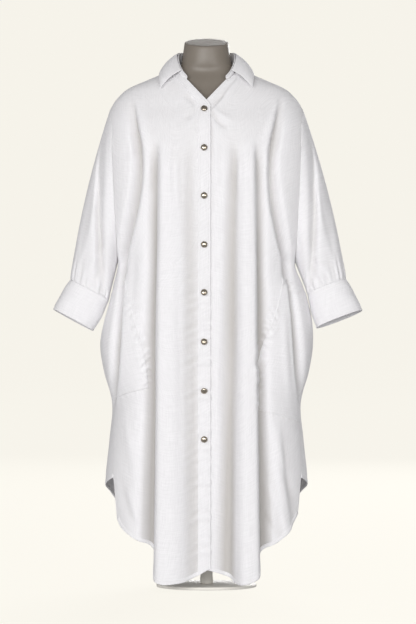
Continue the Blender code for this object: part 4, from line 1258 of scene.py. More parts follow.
def mesh_object(name: str, points: Values, faces: list, material: Material) -> Object:
    """A mesh object at the origin, linked to the scene."""
    data = bpy.data.meshes.new(name)
    data.from_pydata(np.asarray(points).tolist(), [], faces)
    data.materials.append(material)
    data.shade_smooth()
    made = bpy.data.objects.new(name, data)
    bpy.context.scene.collection.objects.link(made)
    return made


def give_map(made: Object, corners: Values) -> None:
    """Gives a mesh its map named cut, from u and v at each face corner."""
    layer = made.data.uv_layers.new(name="cut")
    layer.data.foreach_set("uv", np.asarray(corners, np.float32).ravel())


def turned_shape(profile: Sequence[tuple], sides: int) -> tuple[list[Vector], list[list[int]]]:
    """A shape turned about the vertical.

    Args:
        profile: radius and height of each ring. The first is on the axis, and the last may be.
        sides: points in each ring.

    Returns:
        Its points and its faces.
    """
    closed = profile[-1][0] == 0
    rings = profile[1:-1] if closed else profile[1:]
    turns = [2 * math.pi * i / sides for i in range(sides)]
    points = [Vector((0, 0, profile[0][1]))]
    points += [Vector((radius * math.cos(a), radius * math.sin(a), z)) for radius, z in rings for a in turns]
    faces = [[0, 1 + i, 1 + (i + 1) % sides] for i in range(sides)]
    for start in range(1, 1 + (len(rings) - 1) * sides, sides):
        for i in range(sides):
            j = (i + 1) % sides
            faces.append([start + i, start + sides + i, start + sides + j, start + j])
    if closed:
        start = len(points) - sides
        faces += [[start + i, len(points), start + (i + 1) % sides] for i in range(sides)]
        points.append(Vector((0, 0, profile[-1][1])))
    return points, faces


def dress(made: Object, slot: Slot, *nodes: str) -> Object:
    """Parents a finished piece to the body's empty, so that it rides on the body, and hides the nodes named, which it
    stands for.
    """
    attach(made, BODY)
    if nodes:
        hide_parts(*nodes)
    log.info("%s: %d faces", made.name, len(made.data.polygons))
    return made


@dataclass
class Wall:
    """A layer of cloth between an outer and an inner net, closed all round.

    Args:
        outer: the outer face.
        inner: the inner face, point for point.
        closed: whether the last column meets the first.
    """

    outer: Net
    inner: Net
    closed: bool = False

    def build(self, name: str, material: Material) -> Object:
        """The wall as a mesh object with a map in metres, and painted shade in its folds."""
        rows, cols = self.outer.shape[:2]
        end, span = rows - 1, cols if self.closed else cols - 1
        r, c = (part.ravel() for part in np.meshgrid(np.arange(end), np.arange(span), indexing="ij"))
        edge, down = np.arange(span), np.arange(end)
        front = self.faces((r, c, 0), (r + 1, c, 0), (r + 1, c + 1, 0), (r, c + 1, 0))
        faces = [
            front,
            front[:, ::-1] + np.array((0, 0, 1)),
            self.faces((0, edge, 0), (0, edge + 1, 0), (0, edge + 1, 1), (0, edge, 1)),
            self.faces((end, edge + 1, 0), (end, edge, 0), (end, edge, 1), (end, edge + 1, 1)),
        ]
        if not self.closed:
            for col, a, b in ((0, down + 1, down), (cols - 1, down, down + 1)):
                faces.append(self.faces((a, col, 0), (b, col, 0), (b, col, 1), (a, col, 1)))
        row, col, layer = np.moveaxis(np.concatenate(faces), 2, 0)
        points = np.concatenate([self.outer.reshape(-1, 3), self.inner.reshape(-1, 3)])
        numbers = (layer * rows + row) * cols + col % cols
        made = mesh_object(name, points, numbers.tolist(), material)
        give_map(made, self.lengths()[row.ravel(), col.ravel()])
        self.sharpen(made, len(front) * 2)
        # painted shade in the folds, on the outer face only
        attribute = made.data.attributes.new("hollow", "FLOAT", "POINT")
        hollow = self.hollow().ravel()
        attribute.data.foreach_set("value", np.concatenate([hollow, 0 * hollow]).astype(np.float32))
        return made

    @staticmethod
    def faces(*corners: tuple) -> Values:
        """Faces from their corners, each given as rows, columns and layer: 0 the outer, 1 the inner."""
        return np.stack([np.stack(np.broadcast_arrays(*corner), axis=1) for corner in corners], axis=1)

    def hollow(self) -> Values:
        """Painted shade for each point by how deep it lies in a fold, from 0 on a crest up to the most in a valley."""
        step = np.linalg.norm(np.diff(self.outer, axis=1), axis=2).mean()
        passes = int(min(2 * (FOLD_REACH / step) ** 2, 400))
        net = np.concatenate([self.outer[:, -1:], self.outer, self.outer[:, :1]], axis=1)
        if not self.closed:
            net[:, 0], net[:, -1] = 2 * net[:, 1] - net[:, 2], 2 * net[:, -2] - net[:, -3]
        smooth = net.copy()
        for _ in range(passes):
            smooth[:, 1:-1] = (smooth[:, :-2] + 2 * smooth[:, 1:-1] + smooth[:, 2:]) / 4
            if self.closed:
                smooth[:, 0], smooth[:, -1] = smooth[:, -2], smooth[:, 1]
        depth = ((smooth - net)[:, 1:-1] * net_normals(self.outer, self.closed)).sum(axis=2)
        return np.clip((depth + CREST_DEPTH) / VALLEY_DEPTH, 0.0, MOST_PAINTED_SHADE)

    def lengths(self) -> Values:
        """Length across and down the cloth at each point, with one more column where it closes."""
        net = self.outer
        if self.closed:
            net = np.concatenate([net, net[:, :1]], axis=1)
        down = net_lengths(net, 0)
        return np.stack([net_lengths(net, 1), down - down[-1:]], axis=2)

    @staticmethod
    def sharpen(made: Object, first_rim: int) -> None:
        """Marks the edges of the rim sharp, so that a seam shades as one surface up to its edge."""
        data = made.data
        starts = np.zeros(len(data.polygons), int)
        data.polygons.foreach_get("loop_start", starts)
        loops = np.zeros(len(data.loops), int)
        data.loops.foreach_get("edge_index", loops)
        sharp = np.zeros(len(data.edges), bool)
        sharp[loops[starts[first_rim] :]] = True
        attribute = data.attributes.new("sharp_edge", "BOOLEAN", "EDGE")
        attribute.data.foreach_set("value", sharp)


class Lie(NamedTuple):
    """A line that lies on cloth, with the cloth's normals along it."""

    points: Values
    normals: Values

    def spaced(self, step: float) -> "Lie":
        """The same line with its points evenly apart."""
        along = lengths_along(self.points)
        at = np.linspace(0, along[-1], max(int(along[-1] / step), 2) + 1)
        points, normals = (
            np.stack([np.interp(at, along, part[:, i]) for i in range(3)], axis=1) for part in self
        )
        return Lie(points, unit(normals))


def line_on(net: Net, rows: Values, cols: Values, lift: float = 0.0, closed: bool = False) -> Lie:
    """A line through fractional rows and columns of a net, lifted off it."""
    normals = net_normals(net, closed)
    rows, cols = np.broadcast_arrays(np.asarray(rows, float), np.asarray(cols, float))
    if closed:
        net = np.concatenate([net, net[:, :2]], axis=1)
        normals = np.concatenate([normals, normals[:, :2]], axis=1)
    around = unit(read_net(normals, rows, cols))
    return Lie(read_net(net, rows, cols) + around * lift, around)


def surface_of(net: Net) -> BVHTree:
    """A net as a surface to lie on."""
    rows, cols = net.shape[:2]
    r, c = np.meshgrid(np.arange(rows - 1), np.arange(cols - 1), indexing="ij")
    base = (r * cols + c).ravel()
    quads = np.stack([base, base + cols, base + cols + 1, base + 1], axis=1)
    return BVHTree.FromPolygons(net.reshape(-1, 3).tolist(), quads.tolist())


@dataclass
class EdgeFold:
    """A narrow hem: the cloth folded over a panel's raw edge, flat on both of its faces.

    Args:
        net: the panel's outer face.
        wall: the panel's thickness.
        width: the hem's width.
        lift: how far it stands off the panel.
    """

    net: Net
    wall: float = LINEN
    width: float = 0.008
    lift: float = 0.0006
    stitch_back: float = 0.0012

    def laid(self, edge: Lie, inward: Values, away: float, tree: BVHTree) -> Lie:
        """The line on the panel that lies a given width inside its edge."""
        points, normals = [], []
        for point, normal, step in zip(edge.points, edge.normals, inward):
            found, face_normal, _, _ = tree.find_nearest(Vector(point + step * away))
            facing = Vector(normal)
            if face_normal.dot(facing) < 0:
                face_normal = -face_normal
            points.append(found)
            normals.append((face_normal + facing * 0.5).normalized())
        return Lie(np.array(points), np.array(normals))

    def build(self, name: str, edge: Lie, material: Material) -> tuple:
        """Builds the hem.

        Args:
            name: the piece's name.
            edge: the panel's raw edge.
            material: its finish.

        Returns:
            The hem and the line of its stitches on the outer face.
        """
        edge = edge.spaced(0.003)
        tangents = unit(np.gradient(edge.points, axis=0))
        inward = unit(np.cross(edge.normals, tangents))
        tree = surface_of(self.net)
        profile = ((1.0, 0.2), (0.95, 0.9), (0.5, 1.0), (0.1, 1.0), (0.0, 0.6))
        lines = {share: self.laid(edge, inward, self.width * share, tree) for share, _ in profile}
        rings = []
        for share, height in profile:
            line = lines[share]
            rings.append(line.points + line.normals * self.lift * height)
        rings.append(edge.points - inward * self.lift * 0.7 - edge.normals * self.wall / 2)
        for share, height in profile[::-1]:
            line = lines[share]
            rings.append(line.points - line.normals * (self.wall + self.lift * height))
        rings = np.stack(rings, axis=1)
        made = self.tube(name, rings, material, edge, inward)
        stitch = self.laid(edge, inward, self.width - self.stitch_back, tree)
        return made, Lie(stitch.points + stitch.normals * self.lift, stitch.normals)

    @staticmethod
    def tube(name: str, rings: Values, material: Material, edge: Lie, inward: Values) -> object:
        """Joins the hem's sections into one closed piece that faces outwards."""
        count, around = rings.shape[:2]
        faces = []
        for i in range(count - 1):
            for k in range(around):
                n = (k + 1) % around
                faces.append([i * around + k, i * around + n, (i + 1) * around + n, (i + 1) * around + k])
        first = Vector(rings[0, 1] - rings[0, 3]).cross(Vector(rings[1, 1] - rings[0, 1]))
        if first.dot(Vector(edge.normals[0])) > 0:
            faces = [face[::-1] for face in faces]
            ends = [list(range(around)), [(count - 1) * around + k for k in range(around)][::-1]]
        else:
            ends = [list(range(around))[::-1], [(count - 1) * around + k for k in range(around)]]
        made = mesh_object(name, rings.reshape(-1, 3), faces + ends, material)
        along = lengths_along(edge.points)
        across = np.concatenate([[0.0], np.cumsum(np.linalg.norm(np.diff(rings[0], axis=0), axis=1))])
        corners = []
        for polygon in made.data.polygons:
            spots = [divmod(v, around) for v in polygon.vertices]
            wraps = max(k for _, k in spots) - min(k for _, k in spots) > 1 and len(spots) == 4
            for i, k in spots:
                corners.append((along[i], across[k] if not (wraps and k == 0) else across[-1] + 0.001))
        give_map(made, corners)
        return made


@dataclass
class Topstitch:
    """Rows of machine stitches, laid along lines by a node tree."""

    pitch: float = 0.0030
    length: float = 0.0024
    thickness: float = 0.0006  # real thread is 0.3 mm; drawn thicker so that it shows
    tree: NodeTree = field(init=False)

    def __post_init__(self) -> None:
        """Builds the tree once for all rows."""
        self.tree = self.stitch_tree()

    def stitch_tree(self) -> NodeTree:
        """The tree: a line, points at the stitch pitch, a small stitch on each, made real."""
        tree = bpy.data.node_groups.new("topstitch", "GeometryNodeTree")
        kinds = {"Geometry": "Geometry", "Pitch": "Float", "Stitch Length": "Float", "Thread Thickness": "Float"}
        for name, kind in (kinds | {"Thread": "Material"}).items():
            tree.interface.new_socket(name, in_out="INPUT", socket_type="NodeSocket" + kind)
        tree.interface.new_socket("Geometry", in_out="OUTPUT", socket_type="NodeSocketGeometry")
        given = add_node(tree, "NodeGroupInput").outputs
        thick = given["Thread Thickness"]

        def step(
            kind: str, output: str, links: Optional[dict] = None, values: Optional[dict] = None, **settings: str
        ) -> NodeSocket:
            """Adds one node and gives one of its outputs."""
            return add_node(tree, kind, values, links, **settings).outputs[output]

        curve = step("GeometryNodeMeshToCurve", "Curve", {"Mesh": given["Geometry"]})
        spots = {"Curve": curve, "Length": given["Pitch"]}
        even = step("GeometryNodeResampleCurve", "Curve", spots, mode="LENGTH")
        ball = step("GeometryNodeMeshIcoSphere", "Mesh", values={"Radius": 0.5, "Subdivisions": 1})
        size = step("ShaderNodeCombineXYZ", "Vector", {"X": given["Stitch Length"], "Y": thick, "Z": thick})
        stitch = step("GeometryNodeTransform", "Geometry", {"Geometry": ball, "Scale": size})
        tangent = step("GeometryNodeInputTangent", "Tangent")
        turned = step("FunctionNodeAlignRotationToVector", "Rotation", {"Vector": tangent}, axis="X")
        parts = {"Points": even, "Instance": stitch, "Rotation": turned}
        placed = step("GeometryNodeInstanceOnPoints", "Instances", parts)
        real = step("GeometryNodeRealizeInstances", "Geometry", {"Geometry": placed})
        coloured = step("GeometryNodeSetMaterial", "Geometry", {"Geometry": real, "Material": given["Thread"]})
        add_node(tree, "NodeGroupOutput", links={"Geometry": coloured})
        return tree

    def sew(self, name: str, lines: Sequence[Lie], thread: Material) -> Object:
        """Sews all the lines of one piece.

        Args:
            name: the stitches' name.
            lines: where the rows run.
            thread: the finish.

        Returns:
            One plain mesh object of stitches.
        """
        points, edges = [], []
        for line in lines:
            line = line.spaced(0.002)
            start = len(points)
            points.extend(line.points.tolist())
            edges.extend((start + i, start + i + 1) for i in range(len(line.points) - 1))
        data = bpy.data.meshes.new(name + "_path")
        data.from_pydata(points, edges, [])
        path = bpy.data.objects.new(name + "_path", data)
        bpy.context.scene.collection.objects.link(path)
        modifier = path.modifiers.new("stitches", "NODES")
        modifier.node_group = self.tree
        wanted = {"Pitch": self.pitch, "Stitch Length": self.length, "Thread Thickness": self.thickness}
        wanted["Thread"] = thread
        for item in self.tree.interface.items_tree:
            if item.item_type == "SOCKET" and item.in_out == "INPUT" and item.name in wanted:
                modifier[item.identifier] = wanted[item.name]
        graph = bpy.context.evaluated_depsgraph_get()
        made_data = bpy.data.meshes.new_from_object(path.evaluated_get(graph))
        bpy.data.objects.remove(path)
        made = bpy.data.objects.new(name, made_data)
        made_data.shade_smooth()
        bpy.context.scene.collection.objects.link(made)
        return made


@dataclass
class Shirt:
    """The shirt: fronts, back, band, pockets, sleeves, cuffs, collar, hems, buttons and stitches."""

    finishes: Finishes
    trunk: Trunk = field(default_factory=Trunk)
    creases: CreaseBook = CreaseBook(CREASES, PUCKER_RUNS)
    sleeve_creases: CreaseBook = CreaseBook(SLEEVE_CREASES)
    topstitch: Topstitch = field(default_factory=Topstitch)
    nets: dict = field(default_factory=dict)
    panels: dict = field(default_factory=dict)
    around: int = 128
    button_sides: int = 32

    def build(self) -> None:
        """Builds every piece, from the panels outwards."""
        self.build_fronts()
        self.build_back()
        self.build_band()
        for side in Side:
            self.build_pocket(side)
        for cuff in CUFFS:
            self.build_sleeve(cuff)
            self.build_cuff(cuff)
        self.build_collar()
        self.build_buttons()

    # Panels

    def cloth(self, name: str, outer: Net, inner: Net, node: str, closed: bool = False) -> Object:
        """A finished wall of linen that stands for a node."""
        return dress(Wall(outer, inner, closed).build(name, self.finishes.linen), Slot.LINEN, node)

    def sewn(self, name: str, lines: Sequence[Lie]) -> Object:
        """Finished rows of stitches."""
        return dress(self.topstitch.sew(name, lines, self.finishes.thread), Slot.LINEN)

    def hemmed(self, net: Net, name: str) -> tuple[Object, Lie]:
        """The hem along a panel's last row, and the line of its stitches."""
        bottom = line_on(net, net.shape[0] - 1.0, np.arange(net.shape[1]))
        hem, seam = EdgeFold(net).build(name, bottom, self.finishes.linen)
        return dress(hem, Slot.LINEN), seam

    def creased_front(self, panel: FrontPanel) -> Net:
        """A front's outer face with its creases, and the ripples that buttons and band give it."""
        net = panel.net()
        normals = net_normals(net)
        is_right = panel.side is Side.RIGHT
        push = self.creases.push(net[..., 0], net[..., 2], Face.FRONT)
        if not is_right:
            push *= smoothstep(-0.004, 0.014, net[..., 0])
        push *= edge_mask(net, left=is_right, right=not is_right)
        push += self.band_ripples(net) if is_right else 0.0
        return net + normals * push[..., None]

    @staticmethod
    def band_ripples(net: Net) -> Values:
        """Ripples across the button band, which the closed buttons push up, stronger lower down."""
        x, z = net[..., 0], net[..., 2]
        beyond = np.maximum(PLACKET_EDGE - PLACKET_WIDTH - x, 0.0)
        height, spacing, reach, slant, seed = 0.0024, 0.027, 0.040, 0.55, 21
        strength = height * smoothstep(0.80, 0.62, z) * smoothstep(0.04, 0.09, z)
        return strength * ripple(z + slant * beyond, spacing, seed) * (1 - smoothstep(0.0, reach, beyond))

    def build_fronts(self) -> None:
        """Both front panels, their hems and the folded edge of the under-lap."""
        for side in Side:
            name = "front_" + side.name.lower()
            panel = FrontPanel(self.trunk, side)
            net = self.creased_front(panel)
            self.nets[name], self.panels[name] = net, panel
            made = self.cloth(name + "_cloth", net, net - net_normals(net) * LINEN, name)
            hem, seam = self.hemmed(net, name + "_hem")
            going, lines = [hem], [seam]
            if side is Side.LEFT:
                edge = line_on(net, np.arange(0, panel.rows.top), 0.0)
                fold = EdgeFold(net, width=0.006)
                facing, seam = fold.build(name + "_edge", edge, self.finishes.linen)
                going.append(dress(facing, Slot.LINEN))
                lines.append(seam)
            going.append(self.sewn(name + "_stitches", lines))

    def build_back(self) -> None:
        """The back panel with its hem."""
        net = BackPanel(self.trunk).net()
        push = self.creases.push(net[..., 0], net[..., 2], Face.BACK) * edge_mask(net)
        net = net + net_normals(net) * push[..., None]
        self.nets["back"] = net
        made = self.cloth("back_cloth", net, net - net_normals(net) * LINEN, "back")
        hem, seam = self.hemmed(net, "back_hem")
        going = [hem, self.sewn("back_stitches", [seam])]

    def build_band(self) -> None:
        """The button band: a folded strip with rounded edges and a row of stitches along each."""
        net = self.nets["front_right"]
        cells = self.panels["front_right"].placket_cells
        profile = (
            (0.0, 0.15), (0.012, 0.72), (0.045, 1.0), (0.14, 1.05), (0.175, 0.80), (0.21, 1.05), (0.36, 1.05),
            (0.5, 1.05), (0.64, 1.05), (0.79, 1.05), (0.825, 0.80), (0.86, 1.05), (0.955, 1.0), (0.988, 0.72),
            (1.0, 0.15),
        )
        first = net.shape[1] - 1 - cells
        rows = np.arange(net.shape[0], dtype=float)
        outer, inner = [], []
        for share, height in profile:
            outer.append(line_on(net, rows, first + cells * share, THREAD_LIFT + PATCH_RISE * height).points)
            inner.append(line_on(net, rows, first + cells * share, THREAD_LIFT).points)
        outer, inner = np.stack(outer, axis=1), np.stack(inner, axis=1)
        made = self.cloth("button_band_cloth", outer, inner, "button_band")
        self.nets["band"] = outer
        stitches = self.sewn("button_band_stitches", [line_on(outer, rows, col, THREAD_LIFT) for col in (4.0, 10.0)])

    def build_pocket(self, side: Side) -> None:
        """A patch pocket: the front's own points between mouth and bottom, moved out."""
        name = side.name.lower()
        panel, net = self.panels["front_" + name], self.nets["front_" + name]
        start = panel.rows.top + panel.rows.underarm
        stop = start + panel.rows.pocket
        cols = np.arange(panel.pocket_cells + 1)
        if side is Side.LEFT:
            cols = cols + net.shape[1] - 1 - panel.pocket_cells
        rows = np.concatenate([[start, start + 0.12], np.arange(start + 1, stop), [stop - 0.12, stop]])
        ends = (cols[0], cols[-1])
        fine = np.concatenate([[ends[0], ends[0] + 0.12], cols[1:-1], [ends[1] - 0.12, ends[1]]]).astype(float)
        grid_rows, grid_cols = np.meshgrid(rows, fine, indexing="ij")
        lift = np.full(grid_rows.shape, PATCH_RISE)
        lift[[0, -1], :] *= 0.5
        lift[:, [0, -1]] *= 0.5
        normals = net_normals(net)
        base, out = read_net(net, grid_rows, grid_cols), unit(read_net(normals, grid_rows, grid_cols))
        outer, inner = base + out * lift[..., None], base + out * THREAD_LIFT
        made = self.cloth(f"pocket_{name}_cloth", outer, inner, "pocket_" + name)
        last_row, last_col = outer.shape[0] - 1.0, outer.shape[1] - 1.0
        free_col = 2.0 if side is Side.LEFT else last_col - 2.0
        across = np.arange(1.0, last_col)
        lines = [line_on(outer, np.arange(1.0, last_row), free_col, THREAD_LIFT)]
        lines += [line_on(outer, row, across, THREAD_LIFT) for row in (1.6, last_row - 1.8)]
        stitches = self.sewn(f"pocket_{name}_stitches", lines)

    # Sleeves

    def build_sleeve(self, cuff: CuffSize) -> None:
        """A wide sleeve, lofted from the dropped shoulder to its cuff, gathered a little there."""
        name = "sleeve_" + cuff.side.name.lower()
        count, rows = self.around, 104
        shares = np.arange(count) / count
        low_ring = CuffRing(cuff)
        starts = np.array([self.armhole_point(cuff.side, share) for share in shares])
        stops = low_ring.points(shares, -SEAM / low_ring.length, 0.0)
        travel = np.linspace(0, 1, rows + 1)[:, None]
        net = starts + (stops - starts) * travel[..., None]
        side = cuff.side.value
        puff = SLEEVE_PUFF * np.sin(math.pi * travel) ** 0.8
        net[..., 0] += side * puff * np.maximum(np.cos(2 * math.pi * shares), 0.0)
        face = -np.sin(2 * math.pi * shares)
        sunk = self.sleeve_fold_push(side, net) * smoothstep(0, 0.12, travel * (1 - travel) * 4)
        net[..., 1] += puff * 0.6 * face - np.sign(face) * sunk * np.minimum(1.0, np.abs(face) * 1.6)
        if side > 0:
            net = net[:, ::-1]
            face = face[::-1]
        net = net + net_normals(net, True) * self.sleeve_push(net, travel, face, side)[..., None]
        made = self.cloth(name + "_cloth", net, net - net_normals(net, True) * LINEN, name, True)
        stitches = self.sewn(name + "_stitches", [line_on(net, 2.0, np.arange(count + 1.0), THREAD_LIFT, True)])

    def sleeve_push(self, net: Net, travel: Values, face: Values, side: int) -> Values:
        """Creases of a sleeve, with gathers that die away above the cuff's seam."""
        x, z = side * net[..., 0], net[..., 2]
        folds = [self.sleeve_creases.push(x, z, side_of) for side_of in (Face.FRONT, Face.BACK)]
        push = np.where(face < 0, *folds) * smoothstep(0.0, 0.35, np.abs(face))
        shares = np.arange(net.shape[1]) / net.shape[1]
        waves = np.sin(2 * math.pi * 17 * shares) + 0.7 * np.sin(2 * math.pi * 26 * shares + 1.7)
        gather_height = 0.0011
        gathers = gather_height * waves * smoothstep(0.80, 0.97, travel)
        seams = smoothstep(0.0, 0.03, travel) * (1 - smoothstep(0.985, 1.0, travel))
        return (push + gathers) * seams

    def armhole_point(self, side: Side, share: float) -> Values:
        """A point of the armhole: 0 is the shoulder tip, 0.5 the underarm, on to 1 up the back."""
        down = 1 - abs(2 * share - 1)
        z = TIP[1] - (TIP[1] - UNDERARM[1]) * (1 - math.cos(math.pi * down)) / 2
        face = Face.FRONT if share <= 0.5 else Face.BACK
        place = np.array([self.trunk.side_place(max(z, UNDERARM[1]), side, face)])
        _, y = self.trunk.read(place, np.array([max(z, UNDERARM[1])]))
        return np.array((side.value * (float(armhole_x(z)) + SEAM), float(y[0]), z))

    @staticmethod
    def sleeve_fold_push(side: int, net: Net) -> Values:
        """How far a sleeve's long folds sink in at each point."""
        total = np.zeros(net.shape[:2])
        for fold in SLEEVE_FOLDS:
            down = (fold.z_top - net[..., 2]) / (fold.z_top - fold.z_low)
            centre = curve_through((0, 0.5, 1), (fold.x_top, fold.x_mid, fold.x_low), down)
            away = (side * net[..., 0] - centre) / fold.width
            inside = np.clip(down, 0.0, 1.0)
            total += fold.depth * np.sin(math.pi * inside) ** 0.5 * np.exp(-away * away)
        return total

    def build_cuff(self, cuff: CuffSize) -> None:
        """A plain wide cuff, open below, with a row of stitches near both edges."""
        name = "cuff_" + cuff.side.name.lower()
        ring = CuffRing(cuff)
        count = self.around
        swell, wave, dent, dent_width = 0.0022, 0.0007, 0.0006, 0.02  # the rows of stitches dent the cuff
        shares = np.arange(count) / count
        travels = np.concatenate([[0.0, 0.008], np.linspace(0.03, 0.97, 22), [0.992, 1.0]])
        rows = []
        for travel in travels:
            bulge = math.sin(math.pi * travel)
            grow = STIFF_LINEN - LINEN + swell * bulge
            grow += wave * np.sin(2 * math.pi * (3 * shares + travel * 1.3)) * bulge
            grow -= dent * sum(math.exp(-(((travel - row) / dent_width) ** 2)) for row in (0.085, 0.92))
            rows.append(ring.points(shares, travel, grow))
        net = np.array(rows)
        if cuff.side is Side.LEFT:
            net = net[:, ::-1]
        normals = net_normals(net, True)
        inner = net - normals * STIFF_LINEN
        net[[0, -1]] -= normals[[0, -1]] * SOFT_RIM
        inner[[0, -1]] += normals[[0, -1]] * SOFT_RIM
        made = self.cloth(name + "_cloth", net, inner, name, True)
        around = np.arange(count + 1.0)
        lines = [line_on(net, row, around, THREAD_LIFT, True) for row in (3.2, 22.6)]
        stitches = self.sewn(name + "_stitches", lines)

    # Collar

    def collar_line(self, places: Values, prefix: str) -> Values:
        """One of the collar's lines; places run from -1, the right end, to 1, the left end."""
        stations = column_of(COLLAR_ROWS, "place")
        parts = [curve_through(stations, column_of(COLLAR_ROWS, f"{prefix}_{axis}"), np.abs(places)) for axis in "xyz"]
        parts[0] = parts[0] * np.where(places < 0, -1.0, 1.0)
        return np.stack(parts, axis=-1)

    def neck_seam(self, places: Values) -> Values:
        """The neck seam on the trunk."""
        found = []
        front_start = 0.62
        for place in places:
            reach = abs(place)
            if reach <= front_start:
                x, face = NECK_POINT[0] * math.sin(reach / front_start * math.pi / 2), Face.BACK
            else:
                share = (reach - front_start) / (1 - front_start)
                x, face = NECK_POINT[0] + (COLLAR_END[0] - NECK_POINT[0]) * share, Face.FRONT
            z = seam_top_z(self.trunk, x, face)
            angle = float(self.trunk.angle_at(x, z))
            angle = math.pi - angle if face is Face.BACK else angle
            _, y = self.trunk.read(np.array([self.trunk.index_of(angle)]), np.array([z]))
            found.append((math.copysign(1.0, place) * x, float(y[0]), z))
        return np.array(found)

    def build_collar(self) -> None:
        """The collar stand on the neck seam, and the pointed collar that folds down from it."""
        ends = [0.0, 0.004]
        spread = np.concatenate([ends, np.linspace(0.012, 0.988, 118), [1 - e for e in ends[::-1]]])
        places = spread * 2 - 1
        low = self.neck_seam(places) + np.array((0, 0, SEAM + LINEN / 2))
        high = self.collar_line(places, "stand")
        rises = np.concatenate([[0.0, 0.02], np.linspace(0.1, 0.9, 9), [0.98, 1.0]])
        stand = np.array([low + (high - low) * rise for rise in rises])[::-1, ::-1]
        stand_inner = stand - net_normals(stand) * STIFF_LINEN
        made = self.cloth("collar_stand_cloth", stand, stand_inner, "collar_stand")
        reaches = np.concatenate([[0.0, 0.012], np.linspace(0.05, 0.95, 20), [0.988, 1.0]])
        top = self.collar_line(places * FALL_END, "stand")
        edge = self.collar_line(places, "edge")
        out = edge - top
        out[:, 2] = 0.0
        out = unit(out)
        top = top + out * STIFF_LINEN + np.array((0.0, 0.0, STIFF_LINEN))
        roundness = 0.007  # how far the fall bows out between its fold and its edge
        rows = []
        for reach in reaches:
            swell = roundness * math.sin(math.pi * reach) ** 0.8
            bow = out * swell * 0.6 + np.array((0, 0, swell * 0.5))
            rows.append(top + (edge - top) * reach + bow)
        net = np.array(rows)[:, ::-1]
        normals = net_normals(net)
        inner = net - normals * STIFF_LINEN
        rim = np.zeros(net.shape[:2], bool)
        rim[[0, -1]] = True
        rim[:, [0, -1]] = True
        net[rim] -= normals[rim] * SOFT_RIM
        inner[rim] += normals[rim] * SOFT_RIM
        made = self.cloth("collar_cloth", net, inner, "collar")
        last_row, last_col = net.shape[0] - 1.0, net.shape[1] - 1.0
        across = np.arange(2.5, last_col - 2.0, 0.5)
        down = np.arange(2.0, last_row - 3.0, 0.5)
        lines = [line_on(net, last_row - 3.6, across, THREAD_LIFT)]
        lines += [line_on(net, down, col, THREAD_LIFT) for col in (3.2, last_col - 3.2)]
        stitches = self.sewn("collar_stitches", lines)

    # Buttons

    def build_buttons(self) -> None:
        """Domed metal buttons on their shanks, turned on the lathe and set square on the band."""
        tree = surface_of(self.nets["band"])
        rim, tall = BUTTON_RADIUS, BUTTON_HEIGHT
        rise, sunk = 0.0006, 0.0004  # air under the head, and how far the shank goes into the band
        arc = [math.radians(a) for a in range(0, 81, 8)]
        dome = [(rim * 0.97 * math.sin(a), rise + tall * (0.42 + 0.58 * math.cos(a))) for a in arc]
        rolled = [(rim, rise + tall * 0.44), (rim, rise + tall * 0.36), (0.93 * rim, rise + tall * 0.29)]
        shank = [(0.80 * rim, rise + tall * 0.27), (0.40 * rim, rise + tall * 0.20), (0.34 * rim, -sunk)]
        points, faces = turned_shape(dome + rolled + shank + [(0.0, -sunk)], self.button_sides)
        for number in range(1, BUTTON_COUNT + 1):
            name = f"button_{number}"
            low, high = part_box(name)
            target = Vector((BUTTON_X, low.y - 0.05, (low.z + high.z) / 2))
            found, normal, _, _ = tree.ray_cast(target, Vector((0, 1, 0)))
            normal = Vector((normal.x * 0.3, normal.y, normal.z)).normalized()
            if normal.y > 0:
                normal = -normal
            turn = normal.to_track_quat("Z", "Y").to_matrix().to_4x4()
            place = Matrix.Translation(found) @ turn
            spots = [tuple(place @ point) for point in points]
            dress(mesh_object(name + "_metal", spots, faces, self.finishes.nickel), Slot.BUTTON, name)


@dataclass
class CuffRing:
    """The rings of a cuff, from its seam to its opening."""

    size: CuffSize

    def __post_init__(self) -> None:
        """Works out the cuff's own axes: along its flat side, down its length and through it."""
        size = self.size
        self.middle = np.array((size.seam_x, size.seam_y, size.seam_z))
        low = np.array((size.open_x, size.open_y, size.open_z))
        self.length = float(np.linalg.norm(low - self.middle))
        self.down = (low - self.middle) / self.length
        flat = unit(np.cross(self.down, (0.0, 1.0, 0.0)))
        self.flat = -flat if flat[0] * size.side.value > 0 else flat
        through = np.cross(self.flat, self.down)
        self.through = through if through[1] > 0 else -through

    def points(self, shares: Values, travel: float, grow: Values) -> Values:
        """Points round the cuff; shares go as at the armhole, travel from seam to opening."""
        size = self.size
        half = size.seam_half + (size.open_half - size.seam_half) * travel + grow
        cosine, sine = np.cos(2 * math.pi * shares), np.sin(2 * math.pi * shares)
        power = 2 / 2.3
        across = half * np.sign(cosine) * np.abs(cosine) ** power
        deep = (size.depth + grow) * np.sign(sine) * np.abs(sine) ** power
        centre = self.middle + self.down * self.length * travel
        return centre - np.outer(across, self.flat) - np.outer(deep, self.through)


